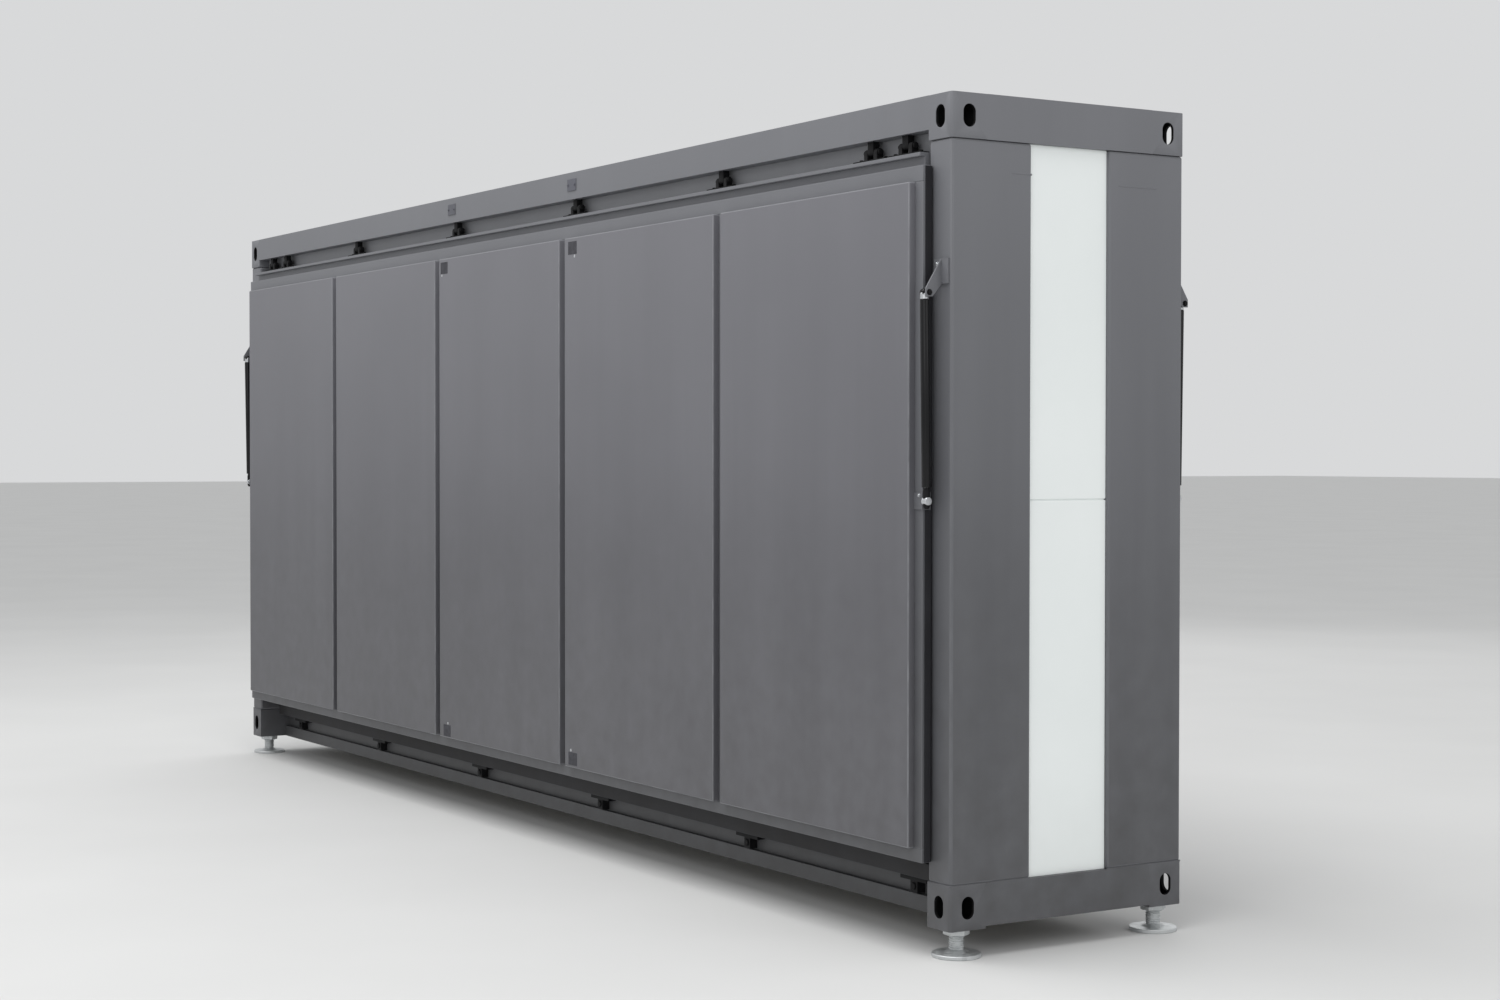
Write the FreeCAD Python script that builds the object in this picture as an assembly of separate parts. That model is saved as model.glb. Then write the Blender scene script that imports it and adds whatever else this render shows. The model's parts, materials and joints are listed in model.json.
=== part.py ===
"""Folding container house in its folded state: a steel core with hinged roof wings.

X runs along the long side, Y across the narrow end, Z up. The origin is at the
middle of the footprint, on the ground under the levelling feet. "Depth" is
measured inwards from the corner castings' outer face on a long side. The front
long side faces -Y, and the rear one is its mirror image.
"""
import FreeCAD, Part
import os
from math import cos, degrees, radians, sin

V = FreeCAD.Vector

# ---- driving dimensions, millimetres ----------------------------------------
LENGTH = 5900.0            # over the corner castings, along X
WIDTH = 900.0              # over the corner castings, along Y
HEIGHT = 2480.0            # from the bottom castings' foot to the top castings' head
FOOT_HEIGHT = 85.0         # ground to the bottom castings
OVERCUT = 10.0             # cutters run past the faces they cut by this much

# corner castings: hollow, with a slot in the end, side and outer flat face
CASTING_X = 115.0
CASTING_Y = 131.0
CASTING_Z = 135.0
CASTING_WALL = 12.0
CASTING_EDGE = 12.0        # rounding of the outer upright edge
SLOT_WIDTH = 45.0
SLOT_HEIGHT = 68.0

# levelling feet
FOOT_PLATE_R = 75.0
FOOT_PLATE = 12.0
FOOT_STEM_R = 24.0
FOOT_NUT_R = 40.0
FOOT_NUT = 22.0

# core frame
END_BEAM_BOTTOM = 127.0    # height of the bottom end beams; the top ones are as tall as the castings
POST_FACE = 300.0          # corner post, width on the narrow end
FACE_SETBACK = 3.0         # posts stand this far behind the castings' faces
TOP_RAIL_DEEP = 60.0
TOP_RAIL_TALL = 102.0
BAND_STRIP = 10.0          # strip that closes the hinge band at the back
BAND_STRIP_TALL = 78.0
BOTTOM_RAIL_DEPTH = 130.0  # depth of the bottom rail's outer lip
BOTTOM_RAIL_DEEP = 60.0
BOTTOM_RAIL_TALL = 100.0
RAIL_LIP = 20.0            # how far the lip stands out
RAIL_LIP_TALL = 50.0
END_WALL = 55.0            # insulated end wall between the posts
END_WALL_RECESS = 12.0
ROOF_PANEL = 50.0
ROOF_DROP = 15.0           # roof panel below the top rails' top face
FLOOR_BOARD = 20.0
FLOOR_RISE = 10.0          # core floor's walking face above the bottom castings
JOIST_WIDE = 45.0
CORE_JOIST_TALL = 85.0
CORE_JOISTS = 9

# folded floor wings, standing upright behind the roof wings
FLOOR_WING_DEPTH = 95.0    # their outer face
FLOOR_WING_JOIST = 70.0
FLOOR_WING_FOOT = 110.0    # lower edge above the castings' foot
FLOOR_WING_HEADROOM = 290.0  # upper edge below the castings' head
FLOOR_WING_EDGE = 50.0
FLOOR_WING_JOISTS = 11
END_GAP = 10.0             # folded slabs to the posts' inner sides

# roof wings, hung outside the posts
PANEL_PROUD = 60.0         # raised panels outside the castings' faces
PANEL_RISE = 23.0          # raised panels above the wing's frame
FLANGE_GAP = 6.0           # back of the frame to the castings' faces
WING_LAP = 23.0            # frame laps over the posts by this much
STILE = 40.0
GROOVE = 45.0
PANELS = 5
WING_HEAD = 33.0           # hinge axis to the wing's head
WING_FOOT_GAP = 196.0      # lower edge above the castings' foot
LEDGE = 12.0
LEDGE_OUT = 19.0
HEAD_GROOVE = 30.0         # shadow groove under the ledge
HEAD_BAR = 48.0            # frame bar between the groove and the panels
FOOT_BAR = 41.0
HEAD_BEAM = 60.0           # height of the hinge beam behind the frame
HEAD_BEAM_GAP = 7.0        # hinge beam's back to the band strip
LINING_STEP = 6.0          # hinge beam stands this far behind the lining
WING_HEM = 10.0            # sheet edge under the lining

# roof wing hinges
AXIS_DEPTH = 25.0
AXIS_DROP = 33.0           # hinge axis below the top rails
OPEN_ANGLE = 86.0          # wing stops with a slight fall
HINGE_STATIONS = 6         # evenly spread; the end ones are pairs
HINGE_MARGIN = 147.5       # end stations' middle to the posts' inner sides
HINGE_END = 140.0          # outer hinge of an end pair to the post's inner side
HINGE_PAIR = 185.0
PIN_R = 7.0
EYE_R = 12.0
LUG_WIDE = 30.0
EAR_WIDE = 18.0
EAR_GAP = 2.0
PIN_CLEARANCE = 0.3
LEAF_LONG = 170.0
LEAF_THICK = 10.0
LEAF_EDGE = 7.0            # leaf's back edge to the band strip

# floor wing hinges
FLOOR_HINGE_END = 235.0    # end hinge to the post's inner side
FLOOR_LUG_WIDE = 36.0
FLOOR_LUG_TALL = 50.0
FLOOR_LUG_OUT = 32.0
FLOOR_LEAF = 6.0

# gas struts, one at each end of each roof wing
STRUT_OUT = 22.0           # strut plane outside the wing's end
STRUT_TOP_DROP = 455.0     # upper pin below the hinge axis
STRUT_LOW_DROP = 1071.0    # lower pin below the hinge axis
STRUT_TOP_PROUD = 10.0     # upper pin outside the wing frame's face
STRUT_LOW_PROUD = 1.0
BARREL_R = 14.0
BARREL_START = 20.0        # upper pin to the barrel's closed end
BARREL_LONG = 555.0
BARREL_WALL = 3.0
BARREL_CAP = 10.0
BARREL_GUIDE = 15.0
ROD_R = 7.0
PISTON_LONG = 12.0
PISTON_GAP = 2.0           # piston to the closed end when folded
STRUT_PIN_R = 6.0
STRUT_EYE_THICK = 18.0
NECK_R = 7.0
BRACKET_PLATE = 6.0
BRACKET_TALL = 75.0
BRACKET_MARGIN = 12.0      # bracket plate to the post's outer face
BRACKET_RISE = 26.0        # upper pin to the post bracket's lower edge
EAR_CLEAR = 5.0            # barrel to the bracket's ear
WING_BRACKET_TALL = 50.0
WING_BRACKET_PLATE = 4.0
WING_BRACKET_GAP = 12.0    # its side plate to the castings' faces
STUD_GAP = 5.0             # rod's stud to the wing bracket

# ---- places that follow from them -------------------------------------------
HALF_L = LENGTH / 2
HALF_W = WIDTH / 2
FOOT_Z = FOOT_HEIGHT                     # bottom castings' foot
HEAD_Z = FOOT_HEIGHT + HEIGHT            # top castings' head
INNER_X = HALF_L - CASTING_X             # posts' and castings' inner sides
POST_Z0 = FOOT_Z + CASTING_Z
POST_Z1 = HEAD_Z - CASTING_Z
RAIL_Z0 = HEAD_Z - TOP_RAIL_TALL
AXIS_Z = RAIL_Z0 - AXIS_DROP
WING_TOP = AXIS_Z - WING_HEAD
WING_FOOT = FOOT_Z + WING_FOOT_GAP
WING_X = INNER_X + WING_LAP              # ends of the wing's frame
PANEL_X = WING_X - STILE                 # ends of the panelled field
SLAB_X = INNER_X - END_GAP               # ends of what folds between the posts
FRAME_D = PANEL_RISE - PANEL_PROUD       # depth of the frame's outer face
PANEL_TOP = WING_TOP - LEDGE - HEAD_GROOVE - HEAD_BAR
PANEL_FOOT = WING_FOOT + FOOT_BAR
STRIP_D = TOP_RAIL_DEEP - BAND_STRIP
BEAM_D = STRIP_D - HEAD_BEAM_GAP         # depth of the hinge beam's back
LINING_D = BEAM_D - LINING_STEP          # depth of the lining's inner face
RAIL_BACK = BOTTOM_RAIL_DEPTH + BOTTOM_RAIL_DEEP
STRUT_X = WING_X + STRUT_OUT
STRUT_TOP_Z = AXIS_Z - STRUT_TOP_DROP
STRUT_LOW_Z = AXIS_Z - STRUT_LOW_DROP
STRUT_TOP_D = FRAME_D - STRUT_TOP_PROUD
STRUT_LOW_D = FRAME_D - STRUT_LOW_PROUD


def block(x0, x1, d0, d1, z0, z1):
    """Box on the front side between two lengths, depths and heights."""
    return Part.makeBox(x1 - x0, d1 - d0, z1 - z0, V(x0, d0 - HALF_W, z0))


def across(x0, x1, half_y, z0, z1):
    """Box centred on the X axis."""
    return Part.makeBox(x1 - x0, 2 * half_y, z1 - z0, V(x0, -half_y, z0))


def rod_x(x0, x1, depth, z, radius):
    """Round bar along X at a depth on the front side."""
    return Part.makeCylinder(radius, x1 - x0, V(x0, depth - HALF_W, z), V(1, 0, 0))


def prism_x(outline, x0, x1):
    """Extrude an outline of (depth, height) points along X."""
    points = [V(x0, d - HALF_W, z) for d, z in outline]
    face = Part.Face(Part.makePolygon(points + points[:1]))
    return face.extrude(V(x1 - x0, 0, 0))


def in_y(shape):
    """Mirror image on the rear side."""
    return shape.mirror(V(0, 0, 0), V(0, 1, 0))


def in_x(shape):
    """Mirror image at the other end."""
    return shape.mirror(V(0, 0, 0), V(1, 0, 0))


def both_ends(solids):
    return solids + [in_x(s) for s in solids]


def both_sides(solids):
    return solids + [in_y(s) for s in solids]


def fused(shapes):
    return shapes[0].fuse(shapes[1:]).removeSplitter()


def write(node, solids):
    """One file for one node, with its solids apart."""
    parts = [solid for shape in solids for solid in shape.Solids]
    shape = parts[0] if len(parts) == 1 else Part.makeCompound(parts)
    shape.exportStep(os.path.join("parts", node + ".step"))
    print(node, len(parts), "valid" if shape.isValid() else "INVALID")


# ---- core --------------------------------------------------------------------
def slot(centre, normal, upright):
    """Round-ended cutter through one casting wall."""
    reach = CASTING_WALL + 2 * OVERCUT
    straight = SLOT_HEIGHT - SLOT_WIDTH
    sideways = normal.cross(upright)
    ends = [Part.makeCylinder(SLOT_WIDTH / 2, reach,
                              centre + upright * (way * straight / 2) - normal * (reach / 2), normal)
            for way in (-1, 1)]
    corner = (centre - upright * (straight / 2) - sideways * (SLOT_WIDTH / 2)
              - normal * (reach / 2))
    sheet = Part.Face(Part.makePolygon([
        corner, corner + upright * straight,
        corner + upright * straight + sideways * SLOT_WIDTH,
        corner + sideways * SLOT_WIDTH, corner]))
    return ends[0].fuse([ends[1], sheet.extrude(normal * reach)])


def casting(z0, outer_z, up):
    """Front casting at the +X end; outer_z is its slotted flat face."""
    body = block(INNER_X, HALF_L, 0, CASTING_Y, z0, z0 + CASTING_Z)
    edge = [e for e in body.Edges
            if abs(e.CenterOfMass.x - HALF_L) < 1 and abs(e.CenterOfMass.y + HALF_W) < 1]
    body = body.makeFillet(CASTING_EDGE, edge)
    cavity = block(INNER_X + CASTING_WALL, HALF_L - CASTING_WALL,
                   CASTING_WALL, CASTING_Y - CASTING_WALL,
                   z0 + CASTING_WALL, z0 + CASTING_Z - CASTING_WALL)
    mid = V(INNER_X + CASTING_X / 2, CASTING_Y / 2 - HALF_W, z0 + CASTING_Z / 2)
    cuts = [cavity,
            slot(V(HALF_L, mid.y, mid.z), V(1, 0, 0), V(0, 0, 1)),
            slot(V(mid.x, -HALF_W, mid.z), V(0, -1, 0), V(0, 0, 1)),
            slot(V(mid.x, mid.y, outer_z), V(0, 0, up), V(1, 0, 0))]
    return body.cut(cuts)


def castings():
    low = casting(FOOT_Z, FOOT_Z, -1)
    high = casting(POST_Z1, HEAD_Z, 1)
    write("bottom_castings", both_sides(both_ends([low])))
    write("top_castings", both_sides(both_ends([high])))


def levelling_feet():
    """Screwed feet: base plate, stem and nut under each bottom casting."""
    x, y = INNER_X + CASTING_X / 2, CASTING_Y / 2 - HALF_W
    plate = Part.makeCylinder(FOOT_PLATE_R, FOOT_PLATE, V(x, y, 0))
    stem = Part.makeCylinder(FOOT_STEM_R, FOOT_Z - FOOT_PLATE, V(x, y, FOOT_PLATE))
    nut = Part.makeCylinder(FOOT_NUT_R, FOOT_NUT, V(x, y, FOOT_Z - FOOT_NUT))
    write("levelling_feet", both_sides(both_ends([fused([plate, stem, nut])])))


def top_rails():
    rail = block(-INNER_X, INNER_X, 0, TOP_RAIL_DEEP, RAIL_Z0, HEAD_Z)
    write("top_rail_front", [rail])
    write("top_rail_rear", [in_y(rail)])
    strip = block(-INNER_X, INNER_X, STRIP_D, TOP_RAIL_DEEP, RAIL_Z0 - BAND_STRIP_TALL, RAIL_Z0)
    write("hinge_band_strips", both_sides([strip]))


def bottom_rails():
    web = BOTTOM_RAIL_DEPTH + RAIL_LIP
    top = FOOT_Z + BOTTOM_RAIL_TALL
    lip = FOOT_Z + RAIL_LIP_TALL
    outline = [(BOTTOM_RAIL_DEPTH, FOOT_Z), (RAIL_BACK, FOOT_Z), (RAIL_BACK, top),
               (web, top), (web, lip), (BOTTOM_RAIL_DEPTH, lip)]
    rail = prism_x(outline, -INNER_X, INNER_X)
    write("bottom_rail_front", [rail])
    write("bottom_rail_rear", [in_y(rail)])


def end_beams():
    half = HALF_W - CASTING_Y
    high = across(INNER_X, HALF_L, half, POST_Z1, HEAD_Z)
    low = across(INNER_X, HALF_L, half, POST_Z0 - END_BEAM_BOTTOM, POST_Z0)
    write("top_end_beams", both_ends([high]))
    write("bottom_end_beams", both_ends([low]))


def posts_and_end_walls():
    face = HALF_L - FACE_SETBACK
    post = block(INNER_X, face, FACE_SETBACK, POST_FACE, POST_Z0, POST_Z1)
    write("corner_posts", both_sides(both_ends([post])))
    outer = face - END_WALL_RECESS
    wall = across(outer - END_WALL, outer, HALF_W - POST_FACE, POST_Z0, POST_Z1)
    write("end_wall_right", [wall])
    write("end_wall_left", [in_x(wall)])


def core_roof():
    top = HEAD_Z - ROOF_DROP
    write("core_roof", [across(-INNER_X, INNER_X, HALF_W - TOP_RAIL_DEEP, top - ROOF_PANEL, top)])


def core_floor():
    half = HALF_W - RAIL_BACK
    top = POST_Z0 + FLOOR_RISE
    under = top - FLOOR_BOARD
    write("core_floor", [across(-INNER_X, INNER_X, half, under, top)])
    pitch = 2 * INNER_X / (CORE_JOISTS + 1)
    middles = [(n + 1) * pitch - INNER_X for n in range(CORE_JOISTS)]
    write("core_joists", [across(x - JOIST_WIDE / 2, x + JOIST_WIDE / 2, half,
                                 under - CORE_JOIST_TALL, under) for x in middles])


# ---- folded floor wings ------------------------------------------------------
def inner_places():
    """Hinge stations between the middle and the end stations, in +X."""
    pitch = 2 * (INNER_X - HINGE_MARGIN) / (HINGE_STATIONS - 1)
    return [(n + 0.5) * pitch for n in range(HINGE_STATIONS // 2 - 1)]


def floor_wings():
    """Boards, joists and edge beams of the two floor wings, folded upright."""
    z0 = FOOT_Z + FLOOR_WING_FOOT
    z1 = HEAD_Z - FLOOR_WING_HEADROOM
    back = FLOOR_WING_DEPTH + FLOOR_WING_JOIST
    board = block(-SLAB_X, SLAB_X, back, back + FLOOR_BOARD, z0, z1)
    write("floor_wing_boards", both_sides([board]))
    edges = [block(-SLAB_X, SLAB_X, FLOOR_WING_DEPTH, back, z0, z0 + FLOOR_WING_EDGE),
             block(-SLAB_X, SLAB_X, FLOOR_WING_DEPTH, back, z1 - FLOOR_WING_EDGE, z1)]
    write("floor_wing_edges", both_sides(edges))
    pitch = (2 * SLAB_X - JOIST_WIDE) / (FLOOR_WING_JOISTS - 1)
    starts = [n * pitch - SLAB_X for n in range(FLOOR_WING_JOISTS)]
    joists = [block(x, x + JOIST_WIDE, FLOOR_WING_DEPTH, back,
                    z0 + FLOOR_WING_EDGE, z1 - FLOOR_WING_EDGE) for x in starts]
    write("floor_wing_joists", both_sides(joists))


def floor_hinges():
    """T hinges between the bottom rails and the floor wings' lower edges."""
    web = BOTTOM_RAIL_DEPTH + RAIL_LIP
    wing = FOOT_Z + FLOOR_WING_FOOT
    leaf_z = wing - FLOOR_LEAF
    hinges = []
    for place in inner_places() + [INNER_X - FLOOR_HINGE_END]:
        lug = block(place - FLOOR_LUG_WIDE / 2, place + FLOOR_LUG_WIDE / 2,
                    web - FLOOR_LUG_OUT, web, leaf_z - FLOOR_LUG_TALL, leaf_z)
        leaf = block(place - LEAF_LONG / 2, place + LEAF_LONG / 2,
                     web - FLOOR_LUG_OUT, web, leaf_z, wing)
        hinges.append(fused([lug, leaf]))
    write("floor_hinges", both_sides(both_ends(hinges)))


# ---- roof wings --------------------------------------------------------------
def wing_head():
    """Head member: hinge beam, ledge, shadow groove and frame bar in one profile."""
    back = -FLANGE_GAP
    bar_top = WING_TOP - LEDGE - HEAD_GROOVE
    outline = [(FRAME_D, PANEL_TOP), (back, PANEL_TOP), (back, WING_TOP - HEAD_BEAM),
               (BEAM_D, WING_TOP - HEAD_BEAM), (BEAM_D, WING_TOP),
               (back - LEDGE_OUT, WING_TOP), (back - LEDGE_OUT, WING_TOP - LEDGE),
               (back, WING_TOP - LEDGE), (back, bar_top), (FRAME_D, bar_top)]
    bar = block(-WING_X, WING_X, FRAME_D, back, PANEL_TOP, bar_top)
    return fused([prism_x(outline, -SLAB_X, SLAB_X), bar])


def wing_foot():
    """Lower frame bar with the hem that closes the lining."""
    bar = block(-WING_X, WING_X, FRAME_D, -FLANGE_GAP, WING_FOOT, PANEL_FOOT)
    hem = block(-SLAB_X, SLAB_X, -FLANGE_GAP, LINING_D, WING_FOOT, WING_FOOT + WING_HEM)
    return fused([bar, hem])


def panel_width():
    return (2 * PANEL_X - (PANELS - 1) * GROOVE) / PANELS


def wing_stiles():
    """End stiles and the bars at the bottom of the grooves between panels."""
    spans = [(-WING_X, -PANEL_X), (PANEL_X, WING_X)]
    for n in range(1, PANELS):
        start = n * (panel_width() + GROOVE) - GROOVE - PANEL_X
        spans.append((start, start + GROOVE))
    return [block(x0, x1, FRAME_D, -FLANGE_GAP, PANEL_FOOT, PANEL_TOP) for x0, x1 in spans]


def wing_panels():
    starts = [n * (panel_width() + GROOVE) - PANEL_X for n in range(PANELS)]
    return [block(x, x + panel_width(), -PANEL_PROUD, -FLANGE_GAP, PANEL_FOOT, PANEL_TOP)
            for x in starts]


def wing_lining():
    return block(-SLAB_X, SLAB_X, -FLANGE_GAP, LINING_D, WING_FOOT + WING_HEM,
                 WING_TOP - HEAD_BEAM)


def hinge_leaf(place):
    """Leaf on the wing's head with an ear each side of the rail's lug."""
    leaf = block(place - LEAF_LONG / 2, place + LEAF_LONG / 2,
                 AXIS_DEPTH - EYE_R - LEAF_EDGE, STRIP_D - LEAF_EDGE, WING_TOP,
                 WING_TOP + LEAF_THICK)
    shapes = [leaf]
    inner = LUG_WIDE / 2 + EAR_GAP
    for x in (place - inner - EAR_WIDE, place + inner):
        shapes.append(rod_x(x, x + EAR_WIDE, AXIS_DEPTH, AXIS_Z, EYE_R))
        shapes.append(block(x, x + EAR_WIDE, AXIS_DEPTH - EYE_R, AXIS_DEPTH + EYE_R,
                            WING_TOP + LEAF_THICK, AXIS_Z))
    reach = inner + EAR_WIDE + OVERCUT
    bore = rod_x(place - reach, place + reach, AXIS_DEPTH, AXIS_Z, PIN_R + PIN_CLEARANCE)
    return fused(shapes).cut(bore)


def hinge_lug(place):
    """Lug under the top rail with the hinge pin through it."""
    eye = rod_x(place - LUG_WIDE / 2, place + LUG_WIDE / 2, AXIS_DEPTH, AXIS_Z, EYE_R)
    neck = block(place - LUG_WIDE / 2, place + LUG_WIDE / 2, AXIS_DEPTH - EYE_R,
                 AXIS_DEPTH + EYE_R, AXIS_Z, RAIL_Z0)
    reach = LUG_WIDE / 2 + EAR_GAP + EAR_WIDE + EAR_GAP
    pin = rod_x(place - reach, place + reach, AXIS_DEPTH, AXIS_Z, PIN_R)
    return fused([eye, neck, pin])


def roof_hinge_places():
    outer = INNER_X - HINGE_END
    return inner_places() + [outer - HINGE_PAIR, outer]


def wing_bracket():
    """Angle on the wing's end stile that the rod's stud faces, +X end."""
    z0 = STRUT_LOW_Z - WING_BRACKET_TALL / 2
    z1 = STRUT_LOW_Z + WING_BRACKET_TALL / 2
    out = FRAME_D - WING_BRACKET_PLATE
    front = block(WING_X - STILE, WING_X + WING_BRACKET_PLATE, out, FRAME_D, z0, z1)
    side = block(WING_X, WING_X + WING_BRACKET_PLATE, out, -WING_BRACKET_GAP, z0, z1)
    return fused([front, side])


def roof_wings():
    nodes = {
        "roof_wing_head": [wing_head()],
        "roof_wing_foot": [wing_foot()],
        "roof_wing_stiles": wing_stiles(),
        "roof_wing_panels": wing_panels(),
        "roof_wing_lining": [wing_lining()],
        "roof_hinge_leaves": both_ends([hinge_leaf(place) for place in roof_hinge_places()]),
        "strut_wing_brackets": both_ends([wing_bracket()]),
    }
    for name, solids in nodes.items():
        write(name + "_front", solids)
        write(name + "_rear", [in_y(s) for s in solids])


def hinge_lugs():
    lugs = [hinge_lug(place) for place in roof_hinge_places()]
    write("roof_hinge_lugs", both_sides(both_ends(lugs)))


# ---- gas struts --------------------------------------------------------------
def strut_pin(depth, z):
    """Pin centre on the front side at the +X end."""
    return V(STRUT_X, depth - HALF_W, z)


def post_bracket():
    """Plate on the post with an ear down to the strut's upper pin, +X end."""
    z0 = STRUT_TOP_Z + BRACKET_RISE
    z1 = z0 + BRACKET_TALL
    out = FACE_SETBACK - BRACKET_PLATE
    plate = block(STRUT_X - BARREL_R, HALF_L - FACE_SETBACK - BRACKET_MARGIN, out,
                  FACE_SETBACK, z0, z1)
    ear_x = STRUT_X + BARREL_R + EAR_CLEAR
    outline = [(out, z0), (STRUT_TOP_D + EYE_R, STRUT_TOP_Z - EYE_R),
               (STRUT_TOP_D - EYE_R, STRUT_TOP_Z - EYE_R),
               (STRUT_TOP_D - EYE_R, STRUT_TOP_Z + EYE_R), (out, z1)]
    ear = prism_x(outline, ear_x, ear_x + BRACKET_PLATE)
    pin = rod_x(STRUT_X - STRUT_EYE_THICK / 2 - EAR_GAP, ear_x, STRUT_TOP_D, STRUT_TOP_Z,
                STRUT_PIN_R)
    return fused([plate, ear, pin])


def strut_line():
    """Upper pin, unit direction to the lower pin, and folded length."""
    top = strut_pin(STRUT_TOP_D, STRUT_TOP_Z)
    span = strut_pin(STRUT_LOW_D, STRUT_LOW_Z) - top
    return top, span / span.Length, span.Length


def strut_eye(centre):
    start = centre.x - STRUT_EYE_THICK / 2
    return Part.makeCylinder(EYE_R, STRUT_EYE_THICK, V(start, centre.y, centre.z), V(1, 0, 0))


def strut_barrel():
    """Barrel with its upper eye, piston chamber and rod guide."""
    top, way, _ = strut_line()
    tube = Part.makeCylinder(BARREL_R, BARREL_LONG, top + way * BARREL_START, way)
    neck = Part.makeCylinder(NECK_R, BARREL_START, top, way)
    chamber = Part.makeCylinder(BARREL_R - BARREL_WALL, BARREL_LONG - BARREL_CAP - BARREL_GUIDE,
                                top + way * (BARREL_START + BARREL_CAP), way)
    open_end = top + way * (BARREL_START + BARREL_LONG)
    guide = Part.makeCylinder(ROD_R + PIN_CLEARANCE, BARREL_GUIDE + 2 * OVERCUT,
                              open_end - way * (BARREL_GUIDE + OVERCUT), way)
    reach = STRUT_EYE_THICK / 2 + OVERCUT
    bore = rod_x(STRUT_X - reach, STRUT_X + reach, STRUT_TOP_D, STRUT_TOP_Z,
                 STRUT_PIN_R + PIN_CLEARANCE)
    return tube.fuse([neck, strut_eye(top)]).cut([chamber, guide, bore])


def strut_rod():
    """Rod with its piston, lower eye and the stud towards the wing."""
    top, way, span = strut_line()
    start = BARREL_START + BARREL_CAP + PISTON_GAP
    low = top + way * span
    piston = Part.makeCylinder(BARREL_R - BARREL_WALL - PIN_CLEARANCE, PISTON_LONG,
                               top + way * start, way)
    rod = Part.makeCylinder(ROD_R, span - start, top + way * start, way)
    stud = rod_x(WING_X + WING_BRACKET_PLATE + STUD_GAP, STRUT_X, STRUT_LOW_D, STRUT_LOW_Z,
                 STRUT_PIN_R)
    return rod.fuse([piston, strut_eye(low), stud])


def gas_struts():
    write("strut_post_brackets", both_sides(both_ends([post_bracket()])))
    for piece, solid in (("strut_barrel", strut_barrel()), ("strut_rod", strut_rod())):
        write(piece + "_front_right", [solid])
        write(piece + "_front_left", [in_x(solid)])
        write(piece + "_rear_right", [in_y(solid)])
        write(piece + "_rear_left", [in_x(in_y(solid))])


def strut_travel():
    """Turn of the barrel in degrees and stroke of the rod as the wing opens."""
    axis = V(STRUT_X, AXIS_DEPTH - HALF_W, AXIS_Z)
    top, _, folded = strut_line()
    low = strut_pin(STRUT_LOW_D, STRUT_LOW_Z)
    arm = low - axis
    turn = radians(OPEN_ANGLE)
    opened = axis + V(0, arm.y * cos(turn) + arm.z * sin(turn),
                      arm.z * cos(turn) - arm.y * sin(turn))
    before, after = low - top, opened - top
    return degrees(before.getAngle(after)), after.Length - folded


def main():
    os.makedirs("parts", exist_ok=True)
    castings()
    levelling_feet()
    top_rails()
    bottom_rails()
    end_beams()
    posts_and_end_walls()
    core_roof()
    core_floor()
    floor_wings()
    floor_hinges()
    hinge_lugs()
    roof_wings()
    gas_struts()
    print("wing hinge axis: y %.1f, z %.1f" % (AXIS_DEPTH - HALF_W, AXIS_Z))
    print("strut pins: x %.1f, top z %.1f, low z %.1f" % (STRUT_X, STRUT_TOP_Z, STRUT_LOW_Z))
    print("strut swing %.4f degrees, stroke %.3f mm" % strut_travel())


main()
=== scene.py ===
"""Double-wing folding container house, folded for transport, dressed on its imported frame.

Lengths are metres in the frame of the model: X along the long side, Y across the narrow
end, Z up from the ground.
"""
import json
from math import cos, pi, radians, sin

import bmesh
import bpy
from mathutils import Matrix, Vector

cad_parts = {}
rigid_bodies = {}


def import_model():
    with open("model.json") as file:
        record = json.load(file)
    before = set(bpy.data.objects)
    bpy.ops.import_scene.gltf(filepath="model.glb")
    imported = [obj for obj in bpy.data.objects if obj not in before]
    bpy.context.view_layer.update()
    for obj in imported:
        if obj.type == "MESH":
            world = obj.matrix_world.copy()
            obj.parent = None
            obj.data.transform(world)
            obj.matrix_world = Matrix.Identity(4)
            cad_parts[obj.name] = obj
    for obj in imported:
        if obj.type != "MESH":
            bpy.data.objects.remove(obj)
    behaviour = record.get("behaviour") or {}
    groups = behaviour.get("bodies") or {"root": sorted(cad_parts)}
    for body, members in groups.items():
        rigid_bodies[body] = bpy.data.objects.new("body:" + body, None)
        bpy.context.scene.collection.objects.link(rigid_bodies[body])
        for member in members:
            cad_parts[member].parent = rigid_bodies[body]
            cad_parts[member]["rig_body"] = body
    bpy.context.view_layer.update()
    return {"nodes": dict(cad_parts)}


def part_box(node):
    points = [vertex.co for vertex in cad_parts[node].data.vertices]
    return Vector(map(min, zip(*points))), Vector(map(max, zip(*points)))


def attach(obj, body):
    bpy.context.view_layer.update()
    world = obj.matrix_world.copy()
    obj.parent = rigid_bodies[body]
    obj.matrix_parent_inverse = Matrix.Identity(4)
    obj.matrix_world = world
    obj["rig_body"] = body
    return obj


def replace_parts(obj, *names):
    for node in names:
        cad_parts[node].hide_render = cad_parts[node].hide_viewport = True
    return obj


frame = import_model()

# ---- Camera ------------------------------------------------------------------------
# A 58 mm lens at chest height, seven metres off the right-hand front corner. The long
# side runs away to the left and the narrow end faces half right.
CAMERA_PLACE = (8.658, -4.663, 1.496)
CAMERA_TURN, CAMERA_TILT, CAMERA_ROLL = radians(58.35), radians(-1.076), radians(0.039)

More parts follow.
